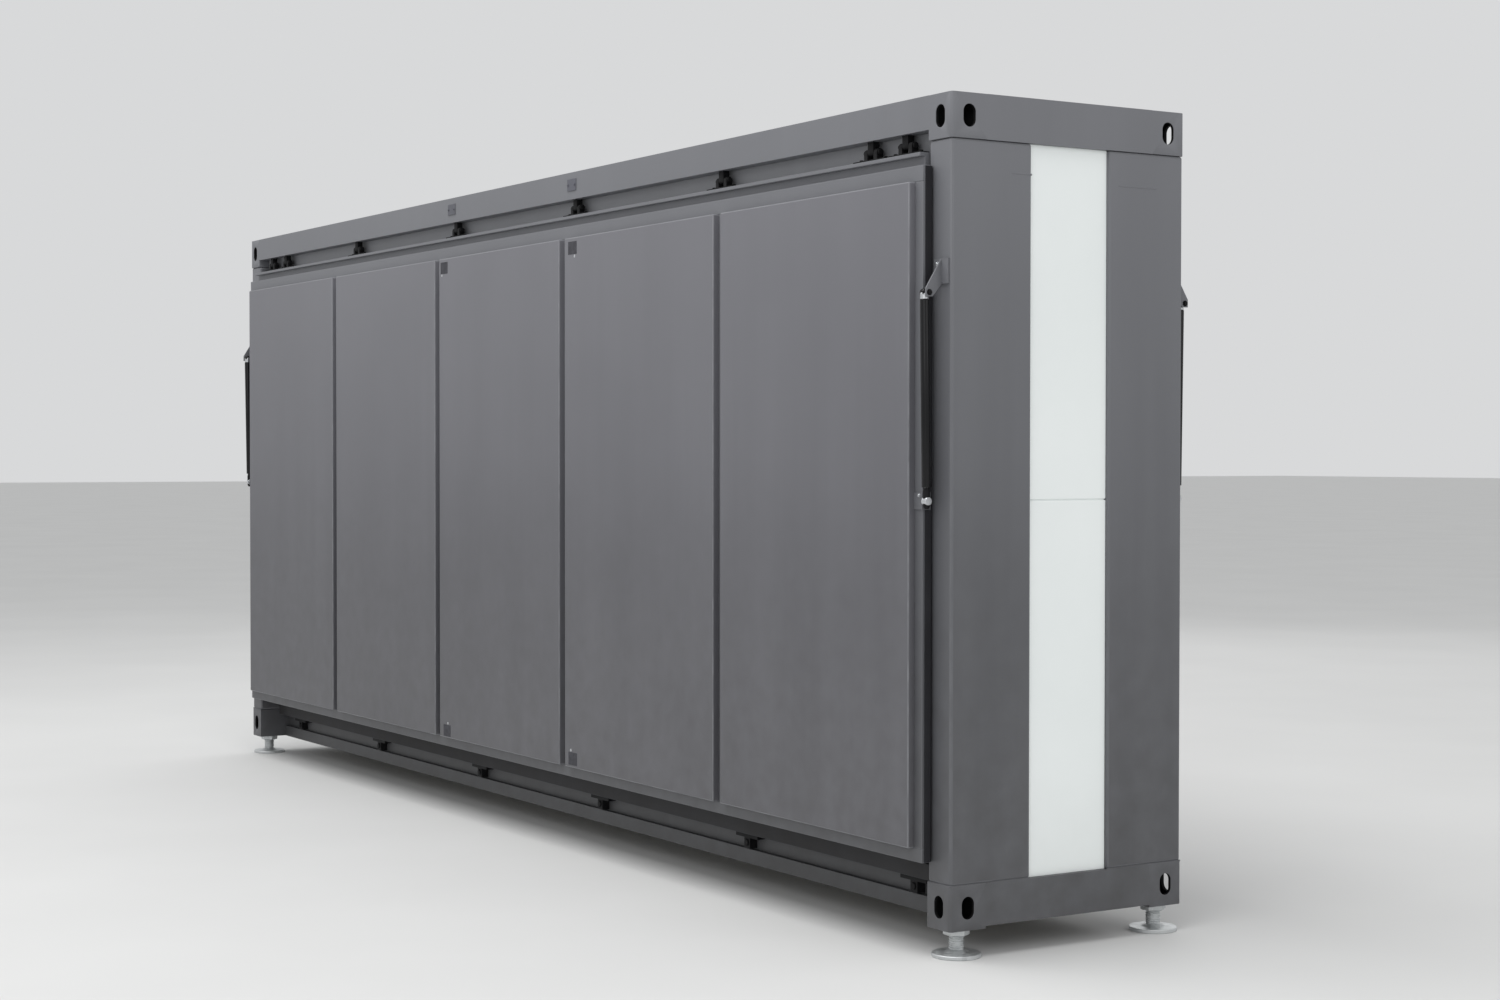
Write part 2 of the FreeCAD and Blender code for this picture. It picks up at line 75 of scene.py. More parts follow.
scene = bpy.context.scene
scene.view_settings.view_transform = "Standard"
camera = bpy.data.objects.new("camera", bpy.data.cameras.new("camera"))
camera.data.lens = 57.70
camera.data.clip_end = 300
camera.matrix_world = (Matrix.Translation(CAMERA_PLACE) @ Matrix.Rotation(CAMERA_TURN, 4, "Z")
                       @ Matrix.Rotation(pi / 2 + CAMERA_TILT, 4, "X")
                       @ Matrix.Rotation(CAMERA_ROLL, 4, "Z"))
scene.collection.objects.link(camera)
scene.camera = camera

# ---- Studio floor and light --------------------------------------------------------
# A pale, faintly mottled painted floor that runs out to the horizon, and large soft
# boxes: overhead, front right, and a weaker one behind on the left.


def linear(code):
    """sRGB hex colour as linear RGBA."""
    parts = [int(code[i:i + 2], 16) / 255 for i in (1, 3, 5)]
    return [c / 12.92 if c <= 0.04045 else ((c + 0.055) / 1.055) ** 2.4 for c in parts] + [1]


def add(tree, kind, settings=None, links=None):
    """Add a node; settings name its properties or sockets, links its linked sockets."""
    node = tree.nodes.new(kind)

    def entry(name):
        return next(s for s in node.inputs if name in (s.identifier, s.name))

    for name, value in (settings or {}).items():
        if hasattr(node, name):
            setattr(node, name, value)
        else:
            entry(name).default_value = value
    for name, sources in (links or {}).items():
        for source in sources if isinstance(sources, list) else [sources]:
            if isinstance(source, bpy.types.Node):
                source = next(s for s in source.outputs if s.enabled)
            tree.links.new(source, entry(name))
    return node


def new_finish(name):
    """Empty material, its tree and its object coordinates."""
    finish = bpy.data.materials.new(name)
    finish.use_nodes = True
    finish.node_tree.nodes.clear()
    coords = add(finish.node_tree, "ShaderNodeTexCoord").outputs["Object"]
    return finish, finish.node_tree, coords


def close_finish(tree, settings, links):
    """Principled surface and output for a material tree."""
    surface = add(tree, "ShaderNodeBsdfPrincipled", settings, links)
    add(tree, "ShaderNodeOutputMaterial", links={"Surface": surface})


def painted_screed():
    """Painted screed: pale, matt, with a barely visible mottle a metre across."""
    finish, tree, coords = new_finish("painted_screed")
    mottle = add(tree, "ShaderNodeTexNoise", {"Scale": 0.8, "Detail": 3.0}, {"Vector": coords})
    tone = add(tree, "ShaderNodeMix",
               {"data_type": "RGBA", "A_Color": linear("#D2D2D1"), "B_Color": linear("#DBDBDA")},
               {"Factor_Float": mottle})
    close_finish(tree, {"Roughness": 0.75, "Specular IOR Level": 0.25}, {"Base Color": tone})
    return finish


floor_mesh = bpy.data.meshes.new("studio_floor")
REACH = 120
floor_mesh.from_pydata([(-REACH, -REACH, 0), (REACH, -REACH, 0), (REACH, REACH, 0),
                        (-REACH, REACH, 0)], [], [(0, 1, 2, 3)])
floor_mesh.materials.append(painted_screed())
studio_floor = bpy.data.objects.new("studio_floor", floor_mesh)
scene.collection.objects.link(studio_floor)

world = bpy.data.worlds.new("studio")
world.use_nodes = True
world.node_tree.nodes["Background"].inputs["Color"].default_value = linear("#F4F5F6")
world.node_tree.nodes["Background"].inputs["Strength"].default_value = 0.76
scene.world = world


def soft_box(name, place, target, size, power):
    """Rectangular soft light at a place, turned to a target."""
    light = bpy.data.lights.new(name, "AREA")
    light.shape = "RECTANGLE"
    light.size, light.size_y = size
    light.energy = power
    box = bpy.data.objects.new(name, light)
    box.location = place
    box.rotation_euler = (Vector(target) - Vector(place)).to_track_quat("-Z", "Y").to_euler()
    scene.collection.objects.link(box)


soft_box("overhead", (0.5, -3.0, 8.5), (0.5, -0.6, 0.5), (11, 5), 520)
soft_box("front_right", (9.5, -8.5, 5.0), (1.0, 0, 1.3), (6, 5), 110)
soft_box("end_fill", (12.0, 3.0, 5.5), (2.9, 0, 1.4), (5, 5), 80)
soft_box("behind_left", (-7.0, 8.0, 6.0), (0, 0, 1.2), (7, 5), 110)

# ---- Levelling feet ----------------------------------------------------------------
# Four screw jacks under the bottom corner castings: a turned base plate with a welded
# boss, a coarse-threaded stem and a hex nut, all hot-dip galvanised after turning.
foot_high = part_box("levelling_feet")[1]
PLATE_RADIUS = 0.075
PLATE_TOP = 0.012
STEM_RADIUS = 0.024
THREAD_PITCH = 0.007
THREAD_RISE = 0.0028
NUT_RADIUS = 0.040
NUT_TALL = 0.022
FOOT_X = foot_high.x - PLATE_RADIUS
FOOT_Y = foot_high.y - PLATE_RADIUS
FOOT_TOP = foot_high.z
NUT_FOOT = FOOT_TOP - NUT_TALL
NUT_HEAD = FOOT_TOP - 0.0005


def galvanised():
    """Hot-dip zinc: pale grey crystals about a centimetre across, each with its own
    tone and gloss, dulled by a thin white bloom."""
    finish, tree, coords = new_finish("hot_dip_galvanised")
    crystals = add(tree, "ShaderNodeTexVoronoi", {"Scale": 85.0}, {"Vector": coords})
    bloom = add(tree, "ShaderNodeTexNoise", {"Scale": 9.0, "Detail": 5.0}, {"Vector": coords})
    grey = add(tree, "ShaderNodeRGBToBW", links={"Color": crystals.outputs["Color"]})
    zinc = add(tree, "ShaderNodeMix",
               {"data_type": "RGBA", "A_Color": linear("#B4B8BA"), "B_Color": linear("#DADDDE")},
               {"Factor_Float": grey})
    dulled = add(tree, "ShaderNodeMix",
                 {"data_type": "RGBA", "B_Color": linear("#C9CBCB")},
                 {"Factor_Float": bloom, "A_Color": zinc})
    gloss = add(tree, "ShaderNodeMapRange", {"To Min": 0.38, "To Max": 0.6}, {"Value": grey})
    relief = add(tree, "ShaderNodeBump", {"Strength": 0.25, "Distance": 0.0004},
                 {"Height": crystals.outputs["Distance"]})
    close_finish(tree, {"Metallic": 0.75},
                 {"Base Color": dulled, "Roughness": gloss, "Normal": relief})
    return finish


GALVANISED = galvanised()


def carry(piece, body):
    """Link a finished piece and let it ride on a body."""
    if not piece.users_collection:
        scene.collection.objects.link(piece)
    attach(piece, body)
    return piece


def make_piece(name, form, finish, body):
    """Object from a bmesh with one finish, riding on a body."""
    mesh = bpy.data.meshes.new(name)
    form.to_mesh(mesh)
    form.free()
    mesh.materials.append(finish)
    return carry(bpy.data.objects.new(name, mesh), body)


def turned(form, outline, centre, sides):
    """Revolve (radius, height) points about a vertical axis through centre."""
    rings = []
    for radius, height in outline:
        if radius == 0:
            rings.append([form.verts.new((centre[0], centre[1], height))])
        else:
            rings.append([form.verts.new((centre[0] + radius * cos(2 * pi * n / sides),
                                          centre[1] + radius * sin(2 * pi * n / sides), height))
                          for n in range(sides)])
    for low, high in zip(rings, rings[1:]):
        for n in range(sides):
            m = (n + 1) % sides
            corners = [low[n % len(low)], low[m % len(low)], high[m % len(high)],
                       high[n % len(high)]]
            face = form.faces.new(list(dict.fromkeys(corners)))
            face.smooth = True
    return rings


def laid(form, outline, place, direction, sides):
    """Revolve (radius, reach) points about the line that leaves a place in a direction."""
    rings = turned(form, outline, (0, 0), sides)
    aim = Vector(direction).to_track_quat("Z", "Y").to_matrix().to_4x4()
    bmesh.ops.transform(form, matrix=Matrix.Translation(place) @ aim,
                        verts=[vert for ring in rings for vert in ring])


def sharpen(form, angle):
    """Keep edges that turn by more than the angle crisp."""
    form.normal_update()
    for edge in form.edges:
        edge.smooth = edge.calc_face_angle(0) < angle


plates = bmesh.new()
nuts = bmesh.new()
for x in (-FOOT_X, FOOT_X):
    for y in (-FOOT_Y, FOOT_Y):
        turned(plates, [(0, 0), (0.0730, 0), (PLATE_RADIUS, 0.002), (PLATE_RADIUS, 0.0100),
                        (0.0730, PLATE_TOP), (0.0400, PLATE_TOP), (0.0345, 0.0150),
                        (0.0290, 0.0200), (0.0212, 0.0215), (0.0212, FOOT_TOP), (0, FOOT_TOP)],
               (x, y), 48)
        turned(nuts, [(0, NUT_FOOT), (0.0335, NUT_FOOT), (NUT_RADIUS, NUT_FOOT + 0.004),
                      (NUT_RADIUS, FOOT_TOP - 0.0035), (0.0345, NUT_HEAD), (0, NUT_HEAD)],
               (x, y), 6)
sharpen(plates, radians(35))
sharpen(nuts, radians(10))
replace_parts(make_piece("foot_plates", plates, GALVANISED, "core"),
            "levelling_feet")
make_piece("foot_nuts", nuts, GALVANISED, "core")


def new_tree(name, inputs):
    """Geometry-node tree with its group input; inputs are (name, socket type) pairs."""
    tree = bpy.data.node_groups.new(name, "GeometryNodeTree")
    tree.interface.new_socket("Geometry", in_out="INPUT", socket_type="NodeSocketGeometry")
    for label, kind in inputs + [("Finish", "NodeSocketMaterial")]:
        tree.interface.new_socket(label, in_out="INPUT", socket_type=kind)
    tree.interface.new_socket("Geometry", in_out="OUTPUT", socket_type="NodeSocketGeometry")
    return tree, add(tree, "NodeGroupInput").outputs


def close_tree(tree, given, shape):
    """Realise the instances, set their finish and hand them out."""
    solid = add(tree, "GeometryNodeRealizeInstances", links={"Geometry": shape})
    dressed = add(tree, "GeometryNodeSetMaterial",
                  links={"Geometry": solid, "Material": given["Finish"]})
    add(tree, "NodeGroupOutput", links={"Geometry": dressed})


def grow(name, tree, places, inputs, body, edges=(), facing=None):
    """Plain mesh that a tree makes on points or edges, riding on a body."""
    base = bpy.data.meshes.new(name)
    base.from_pydata(places, edges, [])
    if facing:
        layer = base.attributes.new("facing", "FLOAT_VECTOR", "POINT")
        layer.data.foreach_set("vector", [c for direction in facing for c in direction])
    piece = bpy.data.objects.new(name, base)
    scene.collection.objects.link(piece)
    modifier = piece.modifiers.new(name, "NODES")
    modifier.node_group = tree
    for item in tree.interface.items_tree:
        if item.in_out == "INPUT" and item.name in inputs:
            modifier[item.identifier] = inputs[item.name]
    graph = bpy.context.evaluated_depsgraph_get()
    made = bpy.data.meshes.new_from_object(piece.evaluated_get(graph), depsgraph=graph)
    made.name = name
    piece.modifiers.clear()
    piece.data = made
    return carry(piece, body)


def thread_tree():
    """One triangular ridge wound up a stem at each point."""
    tree, given = new_tree("stem_thread", [
        ("Turns", "NodeSocketFloat"), ("Ridge radius", "NodeSocketFloat"),
        ("Height", "NodeSocketFloat"), ("Ridge size", "NodeSocketFloat")])
    winding = add(tree, "GeometryNodeCurveSpiral", {"Resolution": 28}, {
        "Rotations": given["Turns"], "Start Radius": given["Ridge radius"],
        "End Radius": given["Ridge radius"], "Height": given["Height"]})
    section = add(tree, "GeometryNodeCurvePrimitiveCircle", {"Resolution": 4},
                  {"Radius": given["Ridge size"]})
    ridge = add(tree, "GeometryNodeCurveToMesh", {"Fill Caps": True},
                {"Curve": winding, "Profile Curve": section})
    set_out = add(tree, "GeometryNodeInstanceOnPoints",
                  links={"Points": given["Geometry"], "Instance": ridge})
    close_tree(tree, given, set_out)
    return tree


THREAD_Z = 0.024
THREAD_TALL = NUT_FOOT - THREAD_Z - 0.002
grow("foot_threads", thread_tree(),
     [(x, y, THREAD_Z) for x in (-FOOT_X, FOOT_X) for y in (-FOOT_Y, FOOT_Y)],
     {"Turns": THREAD_TALL / THREAD_PITCH, "Ridge radius": STEM_RADIUS - THREAD_RISE,
      "Height": THREAD_TALL, "Ridge size": THREAD_RISE, "Finish": GALVANISED},
     "core")

# ---- Bottom frame ------------------------------------------------------------------
# Four hollow corner castings joined by pressed steel end beams and lipped side rails,
# welded up, shot-blasted and sprayed with grey two-pack enamel.
SHARP = radians(32)
FLAT = radians(1)


def round_edges(form, width, joints=()):
    """Round sharp edges, mark the rounds for wear and painted highlight, shade only curves smooth.
    Joints are (axis, distance from the middle) planes whose edges are welded flush."""
    rounded_edge = form.faces.layers.float.new("rounded_edge")
    form.normal_update()
    for face in form.faces:
        face.smooth = any(FLAT < e.calc_face_angle(0) < SHARP for e in face.edges)
    sharp = [e for e in form.edges if e.calc_face_angle(0) > SHARP and not any(
        all(abs(abs(v.co[axis]) - place) < 1e-4 for v in e.verts) for axis, place in joints)]
    rounds = bmesh.ops.bevel(form, geom=sharp, offset=width, offset_type="OFFSET", segments=2,
                             profile=0.5, affect="EDGES", clamp_overlap=True)["faces"]
    for face in rounds:
        face[rounded_edge] = 1.0
        face.smooth = True
    sharpen(form, SHARP + radians(8))


def dress(node, width, finish, joints=()):
    """Stand a copy of a CAD node in for it, with merged points and rounded edges."""
    source = frame["nodes"][node]
    form = bmesh.new()
    form.from_mesh(source.data)
    bmesh.ops.remove_doubles(form, verts=form.verts, dist=2e-5)
    bmesh.ops.dissolve_limit(form, angle_limit=FLAT / 2, verts=form.verts, edges=form.edges)
    round_edges(form, width, joints)
    piece = make_piece(node + ".dressed", form, finish, source["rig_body"])
    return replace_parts(piece, node)


def sprayed_enamel(name, body_colour, light_colour, top_light_colour, wear_and_highlight_colour, gloss,
                   shine=0.5):
    """Two-pack enamel sprayed on steel: satin grey with a fine orange peel, slow tone
    drifts and faint upright wash marks, paler towards the top as painted light, darker in
    patches towards the ground as painted shade, and paler on rounded edges for wear and
    as a painted highlight."""
    finish, tree, coords = new_finish(name)
    drift = add(tree, "ShaderNodeTexNoise", {"Scale": 1.1, "Detail": 4.0}, {"Vector": coords})
    stretched = add(tree, "ShaderNodeMapping", {"Scale": (7.0, 7.0, 0.35)}, {"Vector": coords})
    wash = add(tree, "ShaderNodeTexNoise", {"Scale": 1.0, "Detail": 5.0}, {"Vector": stretched})
    tones = add(tree, "ShaderNodeMath", {"operation": "MULTIPLY"},
                {"Value": drift.outputs["Fac"], "Value_001": wash.outputs["Fac"]})
    spread = add(tree, "ShaderNodeMapRange", {"From Min": 0.15, "From Max": 0.36},
                 {"Value": tones})
    coat = add(tree, "ShaderNodeMix",
               {"data_type": "RGBA", "A_Color": linear(body_colour),
                "B_Color": linear(light_colour)}, {"Factor_Float": spread})
    height = add(tree, "ShaderNodeSeparateXYZ", links={"Vector": coords})
    # Painted light: paler towards the top, for the light from above.
    painted_top_light = add(tree, "ShaderNodeMapRange", {"From Min": 1.0, "From Max": 2.55, "To Max": 0.5},
                 {"Value": height.outputs["Z"]})
    top_lit = add(tree, "ShaderNodeMix", {"data_type": "RGBA", "B_Color": linear(top_light_colour)},
                  {"Factor_Float": painted_top_light, "A_Color": coat})
    # Painted shade: darker in patches towards the ground.
    low = add(tree, "ShaderNodeMapRange",
              {"From Min": 1.5, "From Max": 0.05, "To Max": 0.75}, {"Value": height.outputs["Z"]})
    patch_noise = add(tree, "ShaderNodeTexNoise", {"Scale": 14.0, "Detail": 6.0}, {"Vector": coords})
    painted_low_shade = add(tree, "ShaderNodeMath", {"operation": "MULTIPLY"},
               {"Value": low, "Value_001": patch_noise.outputs["Fac"]})
    low_shaded = add(tree, "ShaderNodeMix", {"data_type": "RGBA", "B_Color": linear("#393836")},
                 {"Factor_Float": painted_low_shade, "A_Color": top_lit})
    # Rounded edges are paler: partly wear, partly a painted highlight where they catch the light.
    edge = add(tree, "ShaderNodeAttribute", {"attribute_name": "rounded_edge"})
    patchy = add(tree, "ShaderNodeMapRange",
                 {"From Min": 0.3, "From Max": 0.7, "To Min": 0.25, "To Max": 0.85},
                 {"Value": patch_noise.outputs["Fac"]})
    edge_lightening = add(tree, "ShaderNodeMath", {"operation": "MULTIPLY"},
               {"Value": edge.outputs["Fac"], "Value_001": patchy})
    colour = add(tree, "ShaderNodeMix", {"data_type": "RGBA", "B_Color": linear(wear_and_highlight_colour)},
                 {"Factor_Float": edge_lightening, "A_Color": low_shaded})
    sheen = add(tree, "ShaderNodeMapRange", {"To Min": gloss - 0.06, "To Max": gloss + 0.1},
                {"Value": wash.outputs["Fac"]})
    peel = add(tree, "ShaderNodeTexNoise", {"Scale": 260.0, "Detail": 2.0}, {"Vector": coords})
    slack = add(tree, "ShaderNodeTexNoise", {"Scale": 1.7, "Detail": 1.0}, {"Vector": coords})
    broad = add(tree, "ShaderNodeBump", {"Strength": 0.5, "Distance": 0.01},
                {"Height": slack.outputs["Fac"]})
    relief = add(tree, "ShaderNodeBump", {"Strength": 0.12, "Distance": 0.0005},
                 {"Height": peel.outputs["Fac"], "Normal": broad})
    close_finish(tree, {"Specular IOR Level": shine},
                 {"Base Color": colour, "Roughness": sheen, "Normal": relief})
    return finish


FRAME_ENAMEL = sprayed_enamel("sprayed_enamel_frame", "#5A5B5F", "#626367",
                              "#85868B", "#6C6D71", 0.46)
# A darker copy of the frame enamel for the bottom rails: painted shade under the wings.
SHADED_SILL_ENAMEL = sprayed_enamel("sprayed_enamel_sills_painted_shade", "#4B4C4F", "#535457",
                             "#7A7B80", "#606165", 0.55)
casting_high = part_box("bottom_castings")[1]
END_X, SIDE_Y = casting_high.x, casting_high.y
INNER_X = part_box("top_rail_front")[1].x
BEAM_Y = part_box("top_end_beams")[1].y
BEAM_JOINT = ((1, BEAM_Y),)
SIDE_JOINT = ((0, INNER_X),)


def cast_scale_and_shade():
    """Unpainted inside of a steel casting: near-black scale with a rough sand-cast skin and a
    few rusty blooms, so dark partly as painted shade for the hollow and its slots."""
    finish, tree, coords = new_finish("cast_steel_scale_painted_shade")
    sand = add(tree, "ShaderNodeTexNoise", {"Scale": 240.0, "Detail": 4.0}, {"Vector": coords})
    bloom = add(tree, "ShaderNodeTexNoise", {"Scale": 26.0, "Detail": 5.0}, {"Vector": coords})
    rusty = add(tree, "ShaderNodeMapRange", {"From Min": 0.58, "From Max": 0.75, "To Max": 0.5},
                {"Value": bloom.outputs["Fac"]})
    colour = add(tree, "ShaderNodeMix",
                 {"data_type": "RGBA", "A_Color": linear("#121213"), "B_Color": linear("#2B1F1A")},
                 {"Factor_Float": rusty})
    relief = add(tree, "ShaderNodeBump", {"Strength": 0.5, "Distance": 0.0008},
                 {"Height": sand.outputs["Fac"]})
    close_finish(tree, {"Roughness": 0.85, "Specular IOR Level": 0.15},
                 {"Base Color": colour, "Normal": relief})
    return finish


CAST_SCALE_AND_SHADE = cast_scale_and_shade()
SKIN_DEPTH = 0.004


def dress_castings(node, joints):
    """Castings painted outside, with near-black scale as painted shade in the hollow and slots."""
    piece = dress(node, 0.003, FRAME_ENAMEL, joints)
    piece.data.materials.append(CAST_SCALE_AND_SHADE)
    low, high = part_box(node)
    # Painted shade: faces in the hollow and its slot walls take the near-black scale.
    for face in piece.data.polygons:
        x, y, z = face.center
        if (INNER_X + SKIN_DEPTH < abs(x) < END_X - SKIN_DEPTH
                and BEAM_Y + SKIN_DEPTH < abs(y) < SIDE_Y - SKIN_DEPTH
                and low.z + SKIN_DEPTH < z < high.z - SKIN_DEPTH):
            face.material_index = 1


dress_castings("bottom_castings", BEAM_JOINT)
dress("bottom_end_beams", 0.0025, FRAME_ENAMEL, BEAM_JOINT)
for side in ("front", "rear"):
    dress("bottom_rail_" + side, 0.002, SHADED_SILL_ENAMEL, SIDE_JOINT)

# ---- Corner posts and end walls ----------------------------------------------------
# Wide folded-plate posts at the four corners. Between them each narrow end is closed by
# an insulated panel with white coil-coated steel faces, in an upper and a lower sheet.
dress("corner_posts", 0.008, FRAME_ENAMEL)


def coil_coated_white():
    """White polyester coil coating: even and low in gloss, greyer in patches towards the
    foot."""
    finish, tree, coords = new_finish("coil_coated_white")
    cloud = add(tree, "ShaderNodeTexNoise", {"Scale": 2.3, "Detail": 5.0}, {"Vector": coords})
    coat = add(tree, "ShaderNodeMix",
               {"data_type": "RGBA", "A_Color": linear("#ECF1F0"), "B_Color": linear("#F6FAF9")},
               {"Factor_Float": cloud})
    height = add(tree, "ShaderNodeSeparateXYZ", links={"Vector": coords})
    low = add(tree, "ShaderNodeMapRange", {"From Min": 0.55, "From Max": 0.22, "To Max": 0.10},
              {"Value": height.outputs["Z"]})
    low_patches = add(tree, "ShaderNodeTexNoise", {"Scale": 11.0, "Detail": 6.0}, {"Vector": coords})
    greyed_low = add(tree, "ShaderNodeMath", {"operation": "MULTIPLY"},
                 {"Value": low, "Value_001": low_patches.outputs["Fac"]})
    colour = add(tree, "ShaderNodeMix", {"data_type": "RGBA", "B_Color": linear("#A8A59C")},
                 {"Factor_Float": greyed_low, "A_Color": coat})
    grain = add(tree, "ShaderNodeTexNoise", {"Scale": 420.0}, {"Vector": coords})
    relief = add(tree, "ShaderNodeBump", {"Strength": 0.06, "Distance": 0.0003},
                 {"Height": grain.outputs["Fac"]})
    gloss = add(tree, "ShaderNodeMapRange", {"To Min": 0.38, "To Max": 0.52},
                {"Value": cloud.outputs["Fac"]})
    close_finish(tree, {}, {"Base Color": colour, "Roughness": gloss, "Normal": relief})
    return finish


COIL_WHITE = coil_coated_white()
JOINT_Z = 1.360
JOINT_GAP = 0.004
CORE_INSET = 0.004


def block(form, low, high):
    """Closed box between two opposite corners."""
    x, y, z = (sorted(pair) for pair in zip(low, high))
    corners = [form.verts.new((x[i], y[j], z[k])) for i in (0, 1) for j in (0, 1) for k in (0, 1)]
    for face in ((0, 1, 3, 2), (4, 6, 7, 5), (0, 4, 5, 1),
                 (2, 3, 7, 6), (0, 2, 6, 4), (1, 5, 7, 3)):
        form.faces.new([corners[i] for i in face])


def settle(form):
    """Put the points, edges and faces of a form in one fixed order."""
    def corners(part):
        return sorted(vert.index for vert in part.verts)

    for parts, key in ((form.verts, lambda vert: vert.co[:]), (form.edges, corners),
                       (form.faces, corners)):
        ranks = {part: rank for rank, part in enumerate(sorted(parts, key=key))}
        parts.sort(key=ranks.get)
        parts.index_update()


for side in ("left", "right"):
    low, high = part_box("end_wall_" + side)
    sheets = bmesh.new()
    block(sheets, low, (high.x, high.y, JOINT_Z - JOINT_GAP / 2))
    block(sheets, (low.x, low.y, JOINT_Z + JOINT_GAP / 2), high)
    round_edges(sheets, 0.0015)
    inset = Vector((CORE_INSET, CORE_INSET, CORE_INSET))
    block(sheets, low + inset, high - inset)
    settle(sheets)
    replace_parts(make_piece("end_panel_" + side, sheets, COIL_WHITE, "core"),
                "end_wall_" + side)

# ---- Top frame ---------------------------------------------------------------------
# Castings, end beams and box rails like the bottom ones. A thin strip behind each
# rail closes the band where the roof wing's hinges sit.
dress_castings("top_castings", BEAM_JOINT + SIDE_JOINT)
dress("top_end_beams", 0.0025, FRAME_ENAMEL, BEAM_JOINT)
# A paler copy of the frame enamel for the hinge band strips: painted light on the band under the
# rail.
LIT_BAND_ENAMEL = sprayed_enamel("sprayed_enamel_band_painted_light", "#7C7D81", "#88898D",
                             "#96979B", "#8C8D90", 0.5)
dress("hinge_band_strips", 0.001, LIT_BAND_ENAMEL, SIDE_JOINT)
for side in ("front", "rear"):
    dress("top_rail_" + side, 0.003, FRAME_ENAMEL, SIDE_JOINT)

# ---- Welds -------------------------------------------------------------------------
# Arc-welded seams where the posts stand on the bottom frame, and short ones left on the
# posts by lifting eyes, painted over. Beam and rail ends are ground flush instead.
WELD_HALF = 0.0032
RIPPLE = 0.006


def weld_tree():
    """A rippled bead along each edge."""
    tree, given = new_tree("weld_bead", [("Half width", "NodeSocketFloat"),
                                         ("Ripple", "NodeSocketFloat")])
    line = add(tree, "GeometryNodeMeshToCurve", links={"Mesh": given["Geometry"]})
    step = add(tree, "ShaderNodeMath", {"operation": "DIVIDE", "Value_001": 3.0},
               {"Value": given["Ripple"]})
    steps = add(tree, "GeometryNodeResampleCurve", {"mode": "LENGTH"},
                {"Curve": line, "Length": step})
    along = add(tree, "GeometryNodeSplineParameter").outputs["Length"]
    turns = add(tree, "ShaderNodeMath", {"operation": "DIVIDE"},
                {"Value": along, "Value_001": given["Ripple"]})
    phase = add(tree, "ShaderNodeMath", {"operation": "MULTIPLY", "Value_001": 2 * pi},
                {"Value": turns})
    wave = add(tree, "ShaderNodeMath", {"operation": "SINE"}, {"Value": phase})
    swell = add(tree, "ShaderNodeMath",
                {"operation": "MULTIPLY_ADD", "Value_001": 0.16, "Value_002": 1.0},
                {"Value": wave})
    section = add(tree, "GeometryNodeCurvePrimitiveCircle", {"Resolution": 7},
                  {"Radius": given["Half width"]})
    bead = add(tree, "GeometryNodeCurveToMesh", {"Fill Caps": True},
               {"Curve": steps, "Profile Curve": section, "Scale": swell})
    close_tree(tree, given, bead)
    return tree


post_low, post_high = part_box("corner_posts")
POST_FOOT = post_low.z
WALL_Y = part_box("end_wall_right")[1].y
LINE_IN = 0.0012
MARK_IN = 0.002
POST_MARKS = ((-0.225, -0.150, 2.337), (0.190, 0.340, 2.323))
seam_points = []
seam_edges = []


def seam(points, mirrors):
    """One weld, repeated at each (end, side) pair of signs."""
    for end, side in mirrors:
        first = len(seam_points)
        seam_points.extend((end * x, side * y, z) for x, y, z in points)
        seam_edges.extend((first + n, first + n + 1) for n in range(len(points) - 1))


face_x = post_high.x - LINE_IN
face_y = post_high.y - LINE_IN
seam([(INNER_X, face_y, POST_FOOT), (face_x, face_y, POST_FOOT), (face_x, WALL_Y, POST_FOOT)],
     ((-1, -1), (-1, 1), (1, -1), (1, 1)))
for start, stop, z in POST_MARKS:
    seam([(post_high.x - MARK_IN, start, z), (post_high.x - MARK_IN, stop, z)],
         ((-1, 1), (1, 1)))
grow("frame_welds", weld_tree(), seam_points,
     {"Half width": WELD_HALF, "Ripple": RIPPLE, "Finish": FRAME_ENAMEL},
     "core", edges=seam_edges)

# ---- Core floor and roof -----------------------------------------------------------
# A fibre-cement deck on steel joists, and an insulated steel roof panel let in between
# the top rails, with pressed ribs along it and a cover seam at every panel joint.
dress("core_joists", 0.0015, GALVANISED)


def fibre_board():
    """Sanded fibre-cement board: warm grey-brown with fine fibres and pale dust."""
    finish, tree, coords = new_finish("sanded_fibre_cement")
    stretched = add(tree, "ShaderNodeMapping", {"Scale": (40.0, 220.0, 220.0)},
                    {"Vector": coords})
    fibres = add(tree, "ShaderNodeTexNoise", {"Scale": 1.0, "Detail": 6.0},
                 {"Vector": stretched})
    cloud = add(tree, "ShaderNodeTexNoise", {"Scale": 3.0, "Detail": 4.0}, {"Vector": coords})
    board = add(tree, "ShaderNodeMix",
                {"data_type": "RGBA", "A_Color": linear("#9C9384"), "B_Color": linear("#BDB5A6")},
                {"Factor_Float": fibres})
    colour = add(tree, "ShaderNodeMix", {"data_type": "RGBA", "B_Color": linear("#ABA69B")},
                 {"Factor_Float": cloud, "A_Color": board})
    relief = add(tree, "ShaderNodeBump", {"Strength": 0.2, "Distance": 0.0004},
                 {"Height": fibres.outputs["Fac"]})
    close_finish(tree, {"Roughness": 0.82}, {"Base Color": colour, "Normal": relief})
    return finish


FIBRE_BOARD = fibre_board()
ROOF_ENAMEL = sprayed_enamel("coil_coated_grey_roof", "#5F6165", "#6A6C70",
                             "#808286", "#85878A", 0.36)
dress("core_floor", 0.0015, FIBRE_BOARD)
dress("core_roof", 0.002, ROOF_ENAMEL)


